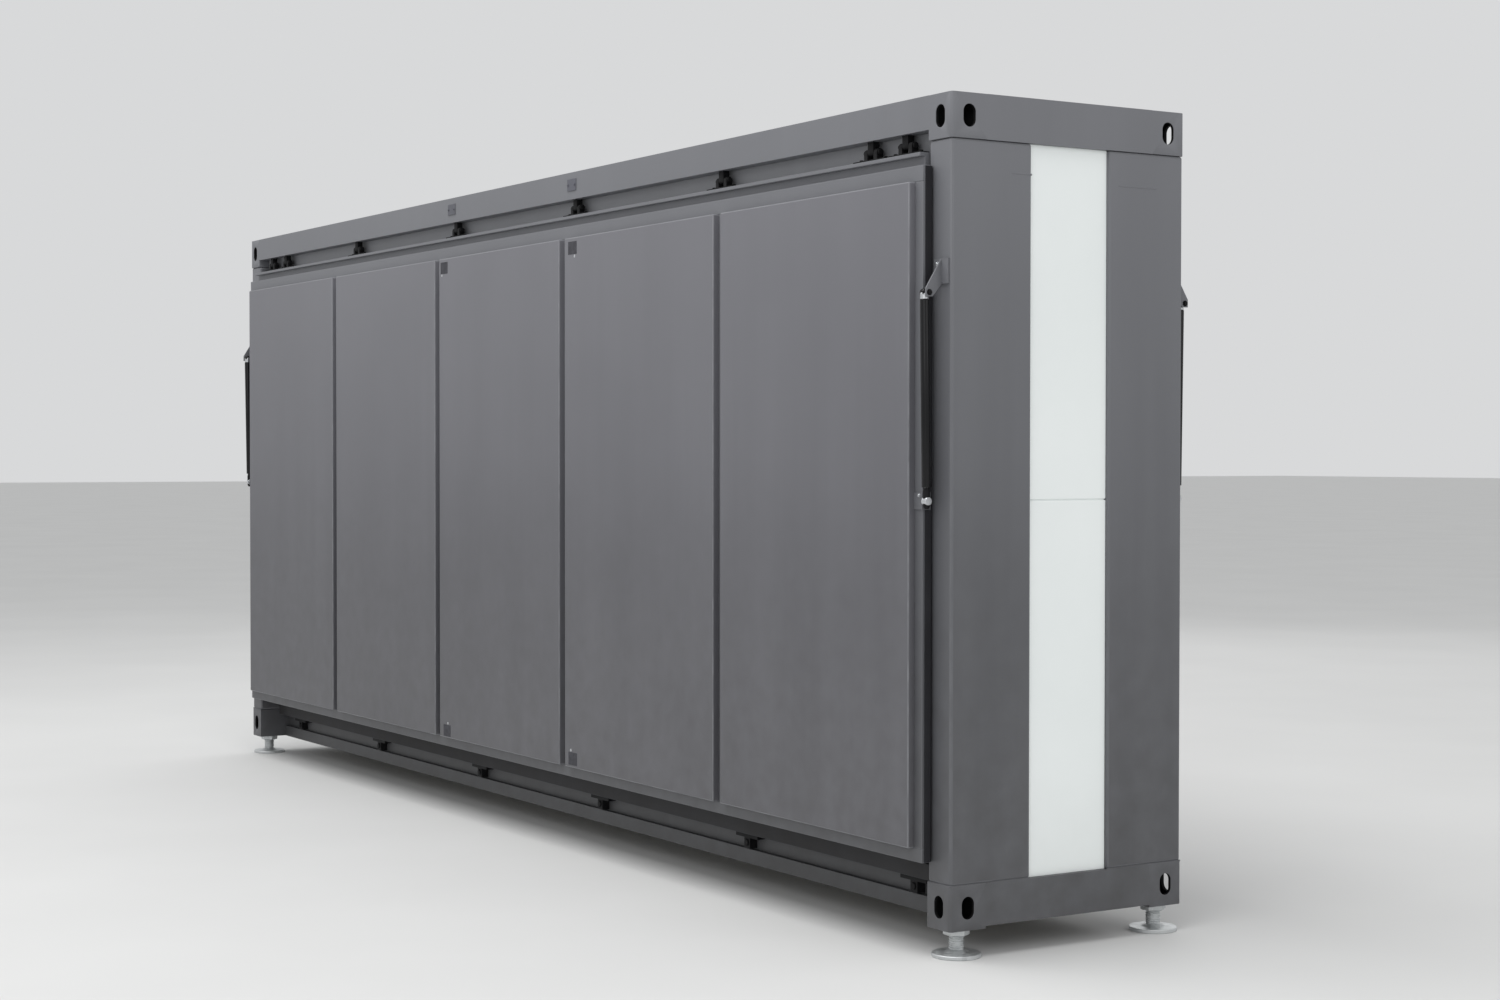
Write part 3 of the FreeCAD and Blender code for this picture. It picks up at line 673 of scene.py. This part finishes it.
def rib_tree():
    """A raised pressing with sloped flanks at each point, along its own direction."""
    tree, given = new_tree("roof_rib", [("Length", "NodeSocketFloat"),
                                        ("Half width", "NodeSocketFloat"),
                                        ("Height", "NodeSocketFloat")])
    foot = add(tree, "ShaderNodeMath", {"operation": "MULTIPLY", "Value_001": 2 ** 0.5},
               {"Value": given["Half width"]})
    crown = add(tree, "ShaderNodeMath", {"operation": "MULTIPLY", "Value_001": 0.6},
                {"Value": foot})
    bar = add(tree, "GeometryNodeMeshCone", {"Vertices": 4},
              {"Radius Top": crown, "Radius Bottom": foot, "Depth": given["Height"]})
    square = add(tree, "GeometryNodeTransform", {"Rotation": (0, 0, pi / 4)}, {"Geometry": bar})
    slimness = add(tree, "ShaderNodeMath", {"operation": "DIVIDE"},
                   {"Value": given["Length"], "Value_001": given["Half width"]})
    stretch = add(tree, "ShaderNodeMath", {"operation": "DIVIDE", "Value_001": 2.0},
                  {"Value": slimness})
    scale = add(tree, "ShaderNodeCombineXYZ", {"Y": 1.0, "Z": 1.0}, {"X": stretch})
    rib = add(tree, "GeometryNodeTransform", links={"Geometry": square, "Scale": scale})
    facing = add(tree, "GeometryNodeInputNamedAttribute",
                 {"data_type": "FLOAT_VECTOR", "Name": "facing"})
    turn = add(tree, "FunctionNodeAlignRotationToVector", {"axis": "X"}, {"Vector": facing})
    set_out = add(tree, "GeometryNodeInstanceOnPoints",
                  links={"Points": given["Geometry"], "Instance": rib, "Rotation": turn})
    close_tree(tree, given, set_out)
    return tree


roof_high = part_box("core_roof")[1]
RIB_TALL = 0.012
RIB_HALF, RIB_END = 0.016, 0.010
SEAM_HALF, SEAM_END, SEAM_RISE = 0.024, 0.002, 0.001
ROOF_RIBS = (-0.26, -0.13, 0, 0.13, 0.26)
SEAMS = (-1.89, 0, 1.89)
roof_rib = rib_tree()
grow("roof_ribs", roof_rib, [(0, y, roof_high.z) for y in ROOF_RIBS],
     {"Length": 2 * (roof_high.x - RIB_END), "Half width": RIB_HALF, "Height": RIB_TALL,
      "Finish": ROOF_ENAMEL}, "core", facing=[(1, 0, 0)] * len(ROOF_RIBS))
grow("roof_seams", roof_rib, [(x, 0, roof_high.z + SEAM_RISE) for x in SEAMS],
     {"Length": 2 * (roof_high.y - SEAM_END), "Half width": SEAM_HALF, "Height": RIB_TALL,
      "Finish": ROOF_ENAMEL}, "core", facing=[(0, 1, 0)] * len(SEAMS))

# ---- Folded floor wings ------------------------------------------------------------
# Two floors that stand upright behind the roof wings until the house is opened: joists
# and edge channels in dark primer outside, kept very dark as painted shade for the gap
# below the roof wings, fibre-cement boards inside.
SHADED_PRIMER = sprayed_enamel("sprayed_dark_primer_painted_shade", "#363638", "#404043",
                             "#4A4A4D", "#535357", 0.7, shine=0.2)
for node in ("floor_wing_edges", "floor_wing_joists"):
    dress(node, 0.0015, SHADED_PRIMER)
dress("floor_wing_boards", 0.001, FIBRE_BOARD)

# ---- Bolts -------------------------------------------------------------------------
# Hex-headed set screws with a flat washer, one tree for every size. Each head is
# turned a little differently, as they stop when they are tight.


def bolt_tree():
    """A washer and a chamfered hex head on each point, facing its own way."""
    tree, given = new_tree("hex_bolt", [("Head radius", "NodeSocketFloat"),
                                        ("Head height", "NodeSocketFloat"),
                                        ("Washer radius", "NodeSocketFloat"),
                                        ("Washer height", "NodeSocketFloat")])
    washer = add(tree, "GeometryNodeMeshCylinder", {"Vertices": 20},
                 {"Radius": given["Washer radius"], "Depth": given["Washer height"]})
    body_tall = add(tree, "ShaderNodeMath", {"operation": "MULTIPLY", "Value_001": 0.8},
                    {"Value": given["Head height"]})
    head = add(tree, "GeometryNodeMeshCylinder", {"Vertices": 6},
               {"Radius": given["Head radius"], "Depth": body_tall})
    head_mid = add(tree, "ShaderNodeMath", {"operation": "MULTIPLY_ADD", "Value_001": 0.5},
                   {"Value": body_tall, "Value_002": given["Washer height"]})
    head_up = add(tree, "ShaderNodeCombineXYZ", links={"Z": head_mid})
    raised_head = add(tree, "GeometryNodeTransform",
                      links={"Geometry": head, "Translation": head_up})
    crown_tall = add(tree, "ShaderNodeMath", {"operation": "MULTIPLY", "Value_001": 0.2},
                     {"Value": given["Head height"]})
    crown_top = add(tree, "ShaderNodeMath", {"operation": "MULTIPLY", "Value_001": 0.82},
                    {"Value": given["Head radius"]})
    crown = add(tree, "GeometryNodeMeshCone", {"Vertices": 6},
                {"Radius Top": crown_top, "Radius Bottom": given["Head radius"],
                 "Depth": crown_tall})
    crown_z = add(tree, "ShaderNodeMath", {"operation": "ADD"},
                  {"Value": body_tall, "Value_001": given["Washer height"]})
    crown_up = add(tree, "ShaderNodeCombineXYZ", links={"Z": crown_z})
    raised_crown = add(tree, "GeometryNodeTransform",
                       links={"Geometry": crown, "Translation": crown_up})
    joined = add(tree, "GeometryNodeJoinGeometry",
                 links={"Geometry": [washer, raised_head, raised_crown]})
    facing = add(tree, "GeometryNodeInputNamedAttribute",
                 {"data_type": "FLOAT_VECTOR", "Name": "facing"})
    aim = add(tree, "FunctionNodeAlignRotationToVector", {"axis": "Z"}, {"Vector": facing})
    spin = add(tree, "FunctionNodeRandomValue",
               {"data_type": "FLOAT", "Max_001": pi / 3, "Seed": 7})
    turn = add(tree, "FunctionNodeAxisAngleToRotation", {"Axis": (0, 0, 1)},
               {"Angle": spin})
    aimed = add(tree, "FunctionNodeRotateRotation", {"rotation_space": "LOCAL"},
                {"Rotation": aim, "Rotate By": turn})
    driven = add(tree, "GeometryNodeInstanceOnPoints",
                 links={"Points": given["Geometry"], "Instance": joined, "Rotation": aimed})
    close_tree(tree, given, driven)
    return tree


hex_bolt = bolt_tree()


def bolts(name, places, facing, size, finish, body):
    """Bolt heads of one size, which is half their width across the corners."""
    grow(name, hex_bolt, places,
         {"Head radius": size, "Head height": size * 0.75, "Washer radius": size * 1.35,
          "Washer height": size * 0.22, "Finish": finish}, body, facing=facing)


# ---- Floor wing hinges -------------------------------------------------------------
# Black-painted forged T hinges: the bar is screwed up under the floor wing's edge and
# the lug turns in a fork on the bottom rail.


def black_paint():
    """Air-dried black paint on forged steel: low gloss over a pitted skin, greyed with
    dust on the rounded edges."""
    finish, tree, coords = new_finish("black_paint_on_forging")
    skin = add(tree, "ShaderNodeTexNoise", {"Scale": 180.0, "Detail": 4.0}, {"Vector": coords})
    dust = add(tree, "ShaderNodeTexNoise", {"Scale": 22.0, "Detail": 5.0}, {"Vector": coords})
    edge = add(tree, "ShaderNodeAttribute", {"attribute_name": "rounded_edge"})
    coat = add(tree, "ShaderNodeMix",
               {"data_type": "RGBA", "A_Color": linear("#0F0F10"), "B_Color": linear("#19191B")},
               {"Factor_Float": dust})
    edge_lightening = add(tree, "ShaderNodeMath", {"operation": "MULTIPLY", "Value_001": 0.4},
               {"Value": edge.outputs["Fac"]})
    colour = add(tree, "ShaderNodeMix", {"data_type": "RGBA", "B_Color": linear("#38383A")},
                 {"Factor_Float": edge_lightening, "A_Color": coat})
    gloss = add(tree, "ShaderNodeMapRange", {"To Min": 0.5, "To Max": 0.72},
                {"Value": dust.outputs["Fac"]})
    relief = add(tree, "ShaderNodeBump", {"Strength": 0.3, "Distance": 0.0005},
                 {"Height": skin.outputs["Fac"]})
    close_finish(tree, {"Specular IOR Level": 0.18},
                 {"Base Color": colour, "Roughness": gloss, "Normal": relief})
    return finish


BLACK_PAINT = black_paint()
dress("floor_hinges", 0.0015, BLACK_PAINT)
FLOOR_HINGES = (0.5375, 1.6125, 2.600)
LUG_Y, PIN_Z = 0.332, 0.160
BAR_LOW, BAR_TOP, BAR_HALF = 0.177, 0.189, 0.070
BAR_BACK, BAR_FACE = 0.3002, LUG_Y + 0.001
heads = bmesh.new()
bars = bmesh.new()
for end in (-1, 1):
    for side in (-1, 1):
        for x in FLOOR_HINGES:
            laid(heads, [(0, 0), (0.0120, 0), (0.0120, 0.0030), (0.0095, 0.0050), (0, 0.0050)],
                 (end * x, side * LUG_Y, PIN_Z), (0, side, 0), 20)
            block(bars, (end * x - BAR_HALF, side * BAR_BACK, BAR_LOW),
                  (end * x + BAR_HALF, side * BAR_FACE, BAR_TOP))
sharpen(heads, radians(35))
make_piece("floor_hinge_pins", heads, BLACK_PAINT, "core")
make_piece("floor_hinge_bars", bars, BLACK_PAINT, "core")

# ---- Roof wings --------------------------------------------------------------------
# Each wing is a welded frame with five raised pans of folded steel sheet, insulated and
# lined inside. It hangs from the top rail, proud of the posts, with a rubber edge seal.
PAN_ENAMEL = sprayed_enamel("sprayed_enamel_pans", "#5D5D62", "#66666B",
                            "#86868C", "#85868A", 0.44)
WINGS = (("front", -1), ("rear", 1))


def coated_lining():
    """Ivory-white coated ceiling sheet: smooth, even, slightly warm."""
    finish, tree, coords = new_finish("coated_ceiling_sheet")
    cloud = add(tree, "ShaderNodeTexNoise", {"Scale": 1.6, "Detail": 4.0}, {"Vector": coords})
    colour = add(tree, "ShaderNodeMix",
                 {"data_type": "RGBA", "A_Color": linear("#DDDEDA"), "B_Color": linear("#E9EAE6")},
                 {"Factor_Float": cloud})
    grain = add(tree, "ShaderNodeTexNoise", {"Scale": 500.0}, {"Vector": coords})
    relief = add(tree, "ShaderNodeBump", {"Strength": 0.08, "Distance": 0.0003},
                 {"Height": grain.outputs["Fac"]})
    close_finish(tree, {"Roughness": 0.5}, {"Base Color": colour, "Normal": relief})
    return finish


LINING = coated_lining()
WING_BODY = {}
for side, _ in WINGS:
    WING_BODY[side] = frame["nodes"]["roof_wing_foot_" + side]["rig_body"]
    dress("roof_wing_panels_" + side, 0.004, PAN_ENAMEL)
    for part, width in (("head", 0.002), ("foot", 0.002), ("stiles", 0.0015)):
        dress("roof_wing_%s_%s" % (part, side), width, FRAME_ENAMEL)
    dress("roof_wing_lining_" + side, 0.001, LINING)

# ---- Lining cover strips -----------------------------------------------------------
# Folded strips of the same coated sheet, snapped over the joints of the wing's lining.
lining_low, lining_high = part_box("roof_wing_lining_rear")
STRIP_PLACES = (-1.704, -0.568, 0.568, 1.704)
STRIP_HALF, STRIP_THICK, STRIP_END = 0.020, 0.0018, 0.004
for side, sign in WINGS:
    strips = bmesh.new()
    for x in STRIP_PLACES:
        block(strips,
              (x - STRIP_HALF, sign * (lining_low.y - STRIP_THICK), lining_low.z + STRIP_END),
              (x + STRIP_HALF, sign * lining_low.y, lining_high.z - STRIP_END))
    round_edges(strips, 0.0006)
    make_piece("lining_strips_" + side, strips, LINING, WING_BODY[side])

# ---- Wing end seals ----------------------------------------------------------------
# Black EPDM: a flat strip glued on each end of the wing's frame, left out where the
# strut's angle sits, and a round bulb behind it that closes on the post.


def rubber():
    """Extruded EPDM: matt black with fine drag lines along it and a grey bloom."""
    finish, tree, coords = new_finish("extruded_epdm")
    stretched = add(tree, "ShaderNodeMapping", {"Scale": (500.0, 500.0, 12.0)},
                    {"Vector": coords})
    drag = add(tree, "ShaderNodeTexNoise", {"Scale": 1.0, "Detail": 3.0}, {"Vector": stretched})
    bloom = add(tree, "ShaderNodeTexNoise", {"Scale": 9.0, "Detail": 5.0}, {"Vector": coords})
    colour = add(tree, "ShaderNodeMix",
                 {"data_type": "RGBA", "A_Color": linear("#1A1A1D"), "B_Color": linear("#2F2F33")},
                 {"Factor_Float": bloom})
    relief = add(tree, "ShaderNodeBump", {"Strength": 0.3, "Distance": 0.0003},
                 {"Height": drag.outputs["Fac"]})
    close_finish(tree, {"Roughness": 0.72, "Specular IOR Level": 0.3},
                 {"Base Color": colour, "Normal": relief})
    return finish


RUBBER = rubber()
SEAL_THICK = 0.003
BULB_RADIUS = 0.004
HEAD_BAR_DROP = 0.042
SEAL_GAP = 0.002
stile_low, stile_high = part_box("roof_wing_stiles_rear")
angle_low, angle_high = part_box("strut_wing_brackets_rear")
WING_END = stile_high.x
seal_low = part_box("roof_wing_foot_rear")[0].z + SEAL_GAP
seal_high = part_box("roof_wing_head_rear")[1].z - HEAD_BAR_DROP - SEAL_GAP
seal_runs = ((seal_low, angle_low.z - SEAL_GAP), (angle_high.z + SEAL_GAP, seal_high))
for side, sign in WINGS:
    strips = bmesh.new()
    for end in (-1, 1):
        for start, stop in seal_runs:
            block(strips, (end * WING_END, sign * (stile_low.y + 0.001), start),
                  (end * (WING_END + SEAL_THICK), sign * (stile_high.y - 0.008), stop))
        round_edges(strips, 0.0008)
    for end in (-1, 1):
        turned(strips, [(0, seal_low), (BULB_RADIUS, seal_low), (BULB_RADIUS, seal_high),
                        (0, seal_high)],
               (end * (WING_END - 0.008), sign * (stile_low.y - BULB_RADIUS)), 12)
    settle(strips)
    make_piece("wing_end_seals_" + side, strips, RUBBER, WING_BODY[side])

# ---- Panel pads --------------------------------------------------------------------
# Thin self-adhesive felt pads near two panels' left corners, where the folded wings rub
# on transport blocks, with a flat zinc rivet beside each.


def felt():
    """Needled felt, charcoal, with a short nap that breaks up the light."""
    finish, tree, coords = new_finish("needled_felt")
    nap = add(tree, "ShaderNodeTexNoise", {"Scale": 900.0, "Detail": 4.0}, {"Vector": coords})
    worn = add(tree, "ShaderNodeTexNoise", {"Scale": 60.0, "Detail": 4.0}, {"Vector": coords})
    colour = add(tree, "ShaderNodeMix",
                 {"data_type": "RGBA", "A_Color": linear("#3A3A3D"), "B_Color": linear("#5A5A5F")},
                 {"Factor_Float": worn})
    relief = add(tree, "ShaderNodeBump", {"Strength": 0.6, "Distance": 0.0006},
                 {"Height": nap.outputs["Fac"]})
    close_finish(tree, {"Roughness": 0.95, "Specular IOR Level": 0.1},
                 {"Base Color": colour, "Normal": relief})
    return finish


def bright_metal(name, dark, pale, smooth, rough):
    """Bright plated steel: ground or barrel-plated, with fine rings round it."""
    finish, tree, coords = new_finish(name)
    stretched = add(tree, "ShaderNodeMapping", {"Scale": (30.0, 30.0, 900.0)},
                    {"Vector": coords})
    rings = add(tree, "ShaderNodeTexNoise", {"Scale": 1.0, "Detail": 2.0}, {"Vector": stretched})
    colour = add(tree, "ShaderNodeMix",
                 {"data_type": "RGBA", "A_Color": linear(dark), "B_Color": linear(pale)},
                 {"Factor_Float": rings})
    gloss = add(tree, "ShaderNodeMapRange", {"To Min": smooth, "To Max": rough},
                {"Value": rings.outputs["Fac"]})
    close_finish(tree, {"Metallic": 1.0}, {"Base Color": colour, "Roughness": gloss})
    return finish


FELT = felt()
ZINC_PLATE = bright_metal("bright_zinc_plate", "#C4C6C9", "#DEE0E2", 0.24, 0.42)
PAD_HALF = Vector((0.034, 0, 0.024))
PAD_THICK = 0.0006
PADS = ((-0.494, 2.268), (0.656, 2.268), (-0.472, 0.352), (0.656, 0.356))
RIVETS = ((-0.517, 2.238), (0.672, 2.236), (-0.464, 0.383), (0.640, 0.387))
panel_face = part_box("roof_wing_panels_rear")[1].y
for side, sign in WINGS:
    pads = bmesh.new()
    for x, z in PADS:
        centre = Vector((x, sign * (panel_face + PAD_THICK / 2), z))
        reach = PAD_HALF + Vector((0, PAD_THICK / 2, 0))
        block(pads, centre - reach, centre + reach)
    make_piece("panel_pads_" + side, pads, FELT, WING_BODY[side])
    rivets = bmesh.new()
    for x, z in RIVETS:
        laid(rivets, [(0, -0.001), (0.0055, -0.001), (0.0055, 0), (0.0035, PAD_THICK),
                      (0, PAD_THICK)], (x, sign * panel_face, z), (0, sign, 0), 14)
    make_piece("panel_rivets_" + side, rivets, ZINC_PLATE, WING_BODY[side])

# ---- Rail plates -------------------------------------------------------------------
# Small closing plates screwed over two cable holes in each top rail, in touched-up paint.
TOUCH_UP = sprayed_enamel("brushed_touch_up_enamel", "#4A4B50", "#545560",
                          "#64656C", "#6A6B6F", 0.6)
RAIL_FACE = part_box("top_rail_rear")[1].y
COVER_PLACES = (-0.547, 0.537)
COVER_HALF, COVER_LOW, COVER_HIGH = 0.035, 2.495, 2.540
COVER_FACE = RAIL_FACE + 0.003
SCREW_STEP, SCREW_Z = 0.026, 2.5175
plates = bmesh.new()
plate_screws = []
for x in COVER_PLACES:
    for sign in (-1, 1):
        block(plates, (x - COVER_HALF, sign * RAIL_FACE, COVER_LOW),
              (x + COVER_HALF, sign * COVER_FACE, COVER_HIGH))
        plate_screws += [(x + step, sign * COVER_FACE, SCREW_Z)
                         for step in (-SCREW_STEP, SCREW_STEP)]
round_edges(plates, 0.001)
make_piece("rail_plates", plates, TOUCH_UP, "core")
bolts("rail_plate_screws", plate_screws, [(0, y, 0) for x, y, z in plate_screws], 0.004,
      TOUCH_UP, "core")

# ---- Roof wing hinges --------------------------------------------------------------
# Forged black hinges under the top rail: a lug and pin on the rail between two ears
# that stand on a leaf, bolted to the wing's head. Collars keep the pins in place.
dress("roof_hinge_lugs", 0.0012, BLACK_PAINT)
AXIS_Y, AXIS_Z = 0.425, 2.430
PIN_HALF = 0.037
LEAF_TOP = 2.407
LEAF_BOLT = 0.066
HINGES = [end * x for end in (-1, 1) for x in (0.5375, 1.6125, 2.510, 2.695)]
collars = bmesh.new()
for side, sign in WINGS:
    dress("roof_hinge_leaves_" + side, 0.0012, BLACK_PAINT)
    screws = [(x + step, sign * AXIS_Y, LEAF_TOP)
              for x in HINGES for step in (-LEAF_BOLT, LEAF_BOLT)]
    bolts("hinge_leaf_bolts_" + side, screws, [(0, 0, 1)] * len(screws), 0.0065, BLACK_PAINT,
          WING_BODY[side])
    for x in HINGES:
        for way in (-1, 1):
            laid(collars, [(0, 0), (0.0100, 0), (0.0100, 0.0030), (0.0080, 0.0045),
                           (0, 0.0045)],
                 (x + way * PIN_HALF, sign * AXIS_Y, AXIS_Z), (way, 0, 0), 16)
sharpen(collars, radians(35))
make_piece("hinge_collars", collars, BLACK_PAINT, "core")

# ---- Gas struts --------------------------------------------------------------------
# A gas strut at each end of each roof wing: black enamelled cylinder, hard-chromed rod
# in a black nylon end socket, zinc-plated cap and stud, and enamelled steel for the
# bracket on the post and the small angle on the wing.


def gloss_black():
    """Stoved black enamel on drawn tube: glossy, with faint marks along its length."""
    finish, tree, coords = new_finish("stoved_black_enamel")
    stretched = add(tree, "ShaderNodeMapping", {"Scale": (300.0, 300.0, 8.0)},
                    {"Vector": coords})
    marks = add(tree, "ShaderNodeTexNoise", {"Scale": 1.0, "Detail": 3.0}, {"Vector": stretched})
    coat = add(tree, "ShaderNodeMix",
               {"data_type": "RGBA", "A_Color": linear("#0E0E0F"), "B_Color": linear("#1B1B1D")},
               {"Factor_Float": marks})
    gloss = add(tree, "ShaderNodeMapRange", {"To Min": 0.16, "To Max": 0.34},
                {"Value": marks.outputs["Fac"]})
    close_finish(tree, {"Specular IOR Level": 0.25}, {"Base Color": coat, "Roughness": gloss})
    return finish


GLOSS_BLACK = gloss_black()
CHROME = bright_metal("hard_chrome", "#D2D4D7", "#E4E6E8", 0.08, 0.2)
dress("strut_post_brackets", 0.0012, FRAME_ENAMEL)
STRUT_X = 2.880
EAR_FACE = 2.905
TOP_PIN, LOW_PIN = (0.497, 1.975), (0.488, 1.359)
BRACKET_X, BRACKET_BOLTS = 2.884, (2.022, 2.060)
BRACKET_FACE = -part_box("corner_posts")[0].y + 0.006
ANGLE_BOLT = (2.847, 0.491, 1.376)
BALL_JOINT = [(0, -0.0105), (0.0085, -0.0105), (0.0118, -0.0070), (0.0124, 0),
              (0.0118, 0.0070), (0.0085, 0.0105), (0, 0.0105)]
BARREL_CAP = [(0, -0.0020), (0.0100, -0.0020), (0.0131, 0.0015), (0.0131, 0.0180),
              (0.0115, 0.0200), (0, 0.0200)]
WING_STUD = [(0, -0.0110), (0.0115, -0.0110), (0.0126, -0.0095), (0.0126, 0.0095),
             (0.0115, 0.0110), (0, 0.0110)]
ROD_SOCKET = [(0, -0.0230), (0.0050, -0.0230), (0.0085, -0.0195), (0.0105, -0.0120),
              (0.0105, 0.0310), (0.0090, 0.0335), (0.0090, 0.0400), (0, 0.0400)]


def strut_fitting(name, outline, place, direction, sides, crisp, finish, carrier):
    """Turned end piece of a strut, riding with the strut's barrel or rod."""
    form = bmesh.new()
    laid(form, outline, place, direction, sides)
    sharpen(form, radians(crisp))
    make_piece(name, form, finish, frame["nodes"][carrier]["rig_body"])


post_bolts = []
pin_nuts = []
for side, sign in WINGS:
    dress("strut_wing_brackets_" + side, 0.001, FRAME_ENAMEL)
    angle_bolts = [(end * ANGLE_BOLT[0], sign * ANGLE_BOLT[1], ANGLE_BOLT[2])
                   for end in (-1, 1)]
    bolts("strut_angle_bolts_" + side, angle_bolts, [(0, sign, 0)] * 2, 0.0042, ZINC_PLATE,
          WING_BODY[side])
    for end, word in ((-1, "left"), (1, "right")):
        which = "_%s_%s" % (side, word)
        barrel, rod = "strut_barrel" + which, "strut_rod" + which
        dress(barrel, 0.0015, GLOSS_BLACK)
        dress(rod, 0.0006, CHROME)
        top = Vector((end * STRUT_X, sign * TOP_PIN[0], TOP_PIN[1]))
        low = Vector((end * STRUT_X, sign * LOW_PIN[0], LOW_PIN[1]))
        post_bolts += [(end * BRACKET_X, sign * BRACKET_FACE, z) for z in BRACKET_BOLTS]
        pin_nuts.append((end * EAR_FACE, sign * TOP_PIN[0], TOP_PIN[1]))
        strut_fitting("strut_joint" + which, BALL_JOINT, top, (end, 0, 0), 24, 40,
                      BLACK_PAINT, barrel)
        strut_fitting("strut_cap" + which, BARREL_CAP, top, low - top, 24, 30,
                      ZINC_PLATE, barrel)
        strut_fitting("strut_stud" + which, WING_STUD, low, (end, 0, 0), 24, 30,
                      ZINC_PLATE, rod)
        strut_fitting("strut_socket" + which, ROD_SOCKET, low, top - low, 20, 50,
                      BLACK_PAINT, rod)
bolts("post_bracket_bolts", post_bolts, [(0, y, 0) for x, y, z in post_bolts], 0.0065,
      ZINC_PLATE, "core")
bolts("strut_pin_nuts", pin_nuts, [(x, 0, 0) for x, y, z in pin_nuts], 0.0070, BLACK_PAINT,
      "core")
